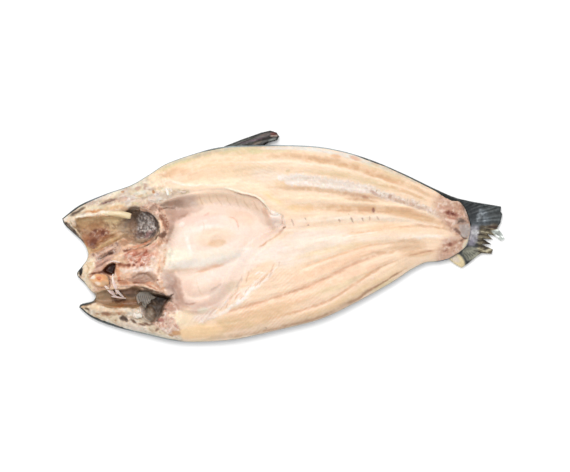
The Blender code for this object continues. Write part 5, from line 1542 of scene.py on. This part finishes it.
# ---------- The torn strings ----------
# White tendons and shreds of membrane were pulled across the lower half of the mouth when the head was
# opened. Each is still fast to the flesh at both of its ends.
for name, path, widths, rises, code in (
    ("tendon_long", [(-162.6, -19.4), (-163, -25), (-161.8, -31), (-159.4, -36.6), (-154, -43.4)],
     [2.0, 2.6, 2.8, 2.4, 1.5], [14.4, 16.6, 17.0, 14.6, 9.0], "f6eae6"),
    ("tendon_fore", [(-172, -29), (-168.4, -33.6), (-164.6, -38.6), (-161, -42)], [2.0, 2.8, 2.4, 1.6],
     [16.4, 16.0, 13.0, 9.6], "f2e4df"),
    ("tendon_cross", [(-166.4, -40.6), (-161, -42), (-156, -43), (-152.6, -43.8)], [1.2, 2.0, 1.9, 1.2],
     [10.4, 10.6, 9.8, 8.6], "ecdcd8"),
    ("tendon_stay", [(-159.4, -30), (-160.6, -34.6), (-160.6, -39.4)], [2.6, 2.6, 2.0], [16.6, 15.4, 12.0],
     "e6ccbf"),
    ("tendon_thin", [(-166.2, -31.6), (-164.4, -35.6), (-162.4, -39)], [0.9, 1.2, 0.9], [16.2, 14.6, 12.6],
     "e9d3ca"),
    ("throat_shred", [(-165, -8.4), (-160.6, -7.6), (-155, -9)], [1.2, 1.8, 1.2], [15.6, 16.8, 18.2],
     "f6eae4"),
    ("jaw_shred", [(-167, -21), (-165.4, -27), (-166.4, -32.6)], [1.4, 1.9, 1.2], [13.6, 15.2, 15.4],
     "c39c88"),
):
    tendon, points = strand(name, path, widths, rises, 0.7, 0.16)
    sinew = Dresser(points[:, 0], points[:, 1], code, 0.4)
    # painted shade: a darker line along the side of each string away from the light
    sinew.streak("c9a597", [(x0 + 0.5, y0 - 0.3) for x0, y0 in path], 0.35, 0.6)
    sinew.tint *= (1 + 0.04 * ripple(points[:, 0], points[:, 1], 1.2, 73))[:, None]
    paint(tendon, "meat", sinew.tint)

# ---------- The gill flap ----------
# A thin grey gill cover, cut through, lies loose over the lower gill pit. It is fast to the wall of the
# pit along its left side and the light comes through its paler hems.
def flap(name, plan, levels, thickness, fade=1.2):
    """A thin curled sheet of tissue over a plan, its corners at their own heights."""
    ring = loop_through(plan, 0.6)
    inner = lattice(ring.min(axis=0), ring.max(axis=0), 0.8)
    inner = inner[depth_inside(inner[:, 0], inner[:, 1], ring) > 0.4]
    sheet, sheet_faces = web(ring, inner)
    apart = sheet[:, None] - np.array(plan)[None]
    reach = np.hypot(apart[..., 0], apart[..., 1])
    pull = 1 / (reach + 1.5) ** 2
    level = (pull * np.array(levels)).sum(axis=1) / pull.sum(axis=1)
    level = level + 0.35 * ripple(sheet[:, 0], sheet[:, 1], 4, 74)
    inwards = np.maximum(depth_inside(sheet[:, 0], sheet[:, 1], ring), 0)
    half = thickness / 2 * ease(inwards / fade + 0.05)
    upper = level + half
    upper[:len(ring)] = level[:len(ring)]
    points, faces, _ = two_sided(sheet, sheet_faces, len(ring), upper, level - half)
    return mesh_piece(name, points, faces, raw), points


cover_plan = [(-143.4, -42.4), (-139.6, -38.8), (-134, -38), (-130.4, -38.2), (-127.6, -42), (-123.6, -45.2),
    (-128.6, -47.6), (-129.4, -50.2), (-133, -51.6), (-135, -54.6), (-138, -52.6), (-141.4, -50)]
cover_levels = [11.0, 10.8, 10.4, 9.8, 9.0, 8.4, 8.6, 8.4, 9.0, 9.4, 10.4, 11.4]
cover, points = flap("gill_cover", cover_plan, cover_levels, 0.9)
web_paint = Dresser(points[:, 0], points[:, 1], "918b80", 0.5)
web_paint.marks(
    ("6c655c", 3.2, 76, 0.6, np.ones(len(points))),
    ("938f8a", (-137, -44), 5, 3.6, -40, 0.8),
    ("a8a39a", [(-138, -51.6), (-133, -47.6), (-128, -46.4), (-125, -45.6)], 0.7, 0.8),
)
for i in range(8):
    root = np.array((-140.5 + 1.9 * i, -41.2 - 0.4 * i))
    web_paint.marks(
        ("4d463f", [root, root + (0.5, -4), root + (2.4 + 0.8 * math.sin(2 * i), -10)], 0.6, 0.8),
        ("bdb7ac", [root + (0.95, 0), root + (1.5, -4), root + (3.4 + 0.8 * math.sin(2 * i), -9)], 0.5, 0.6),
    )
web_paint.streak("b9a79b", [(-142.6, -42.6), (-141.4, -47), (-139, -51)], 0.8, 0.7)
paint(cover, "meat", web_paint.tint)

# ---------- The fat and the tags ----------
# Firm white fat shows where the knife went through the lower cheek, and thin white tags of membrane hang
# from the brim of the belly, some curled back over the muscle.
fat, points = blob("cheek_fat", (-141.4, -59.4, 19.2), (4.4, 3.8, 1.9), 8, 0.22)
lard = Dresser(points[:, 0], points[:, 1], "f6f2e8", 0.4)
lard.marks(
    ("dfe3d8", (-141.2, -62.4), 1.6, 2.2, 20, 0.7),
    ("d9c3ae", [(-145.6, -58), (-145, -61), (-143, -64)], 0.6, 0.6),
)
paint(fat, "meat", lard.tint)
for name, path, widths, rises, code in (
    ("tag_upper", [(-106, 57.5), (-104.6, 54), (-104.4, 50.4)], [1.2, 3.0, 1.6], [0.2, 0.5, 0.3], "fdf8f2"),
    ("tag_spike", [(-101.6, 57), (-100.4, 52), (-99.6, 48), (-98.8, 44.6)], [1.4, 2.0, 1.4, 0.6],
     [0.2, 0.4, 1.2, 2.2], "f6ece2"),
    ("tag_left", [(-124, 48.6), (-119, 47.4), (-114, 47.2)], [0.8, 1.5, 0.9], [0.1, 0.3, 0.2], "eedfd4"),
    ("brim_tag", [(-93, 53.6), (-89.6, 52.6), (-87, 52.8)], [0.8, 1.6, 0.8], [0.1, 0.4, 0.2], "f0dfd2"),
    ("brim_edge", [(-52, 53.9), (-46, 52.6), (-39, 49.9), (-33, 47.4), (-27, 45.7), (-22, 43.8),
     (-17.4, 40.6), (-13.4, 36.4), (-10.6, 31.6), (-8.6, 27)],
     [0.8, 1.9, 2.2, 2.6, 2.1, 2.4, 2.0, 2.4, 2.0, 1.4], [0.0, 0.1, 0.1, 0.1, 0.1, 0.1, 0.1, 0.0, 0.0, 0.0],
     "fff3df"),
    ("brim_flap", [(-8.4, 29), (-6.4, 26.6), (-4, 25.2), (-1.2, 25.6)], [2.0, 4.2, 3.8, 1.6],
     [0.3, 0.5, 0.5, 0.3], "f6ede4"),
    ("brim_end", [(-1, 25.6), (1.8, 24.4), (3.4, 20.6), (3.4, 16)], [1.0, 1.4, 1.2, 0.8],
     [0.1, 0.2, 0.2, 0.1], "f3dcc6"),
):
    tag, points = strand(name, path, widths, surface_at(path) + rises, 0.45, 0.28, 12, 0.2)
    thin = Dresser(points[:, 0], points[:, 1], code, 0.4)
    thin.tint *= (1 + 0.035 * ripple(points[:, 0], points[:, 1], 1.6, 75))[:, None]
    paint(tag, "meat", thin.tint)
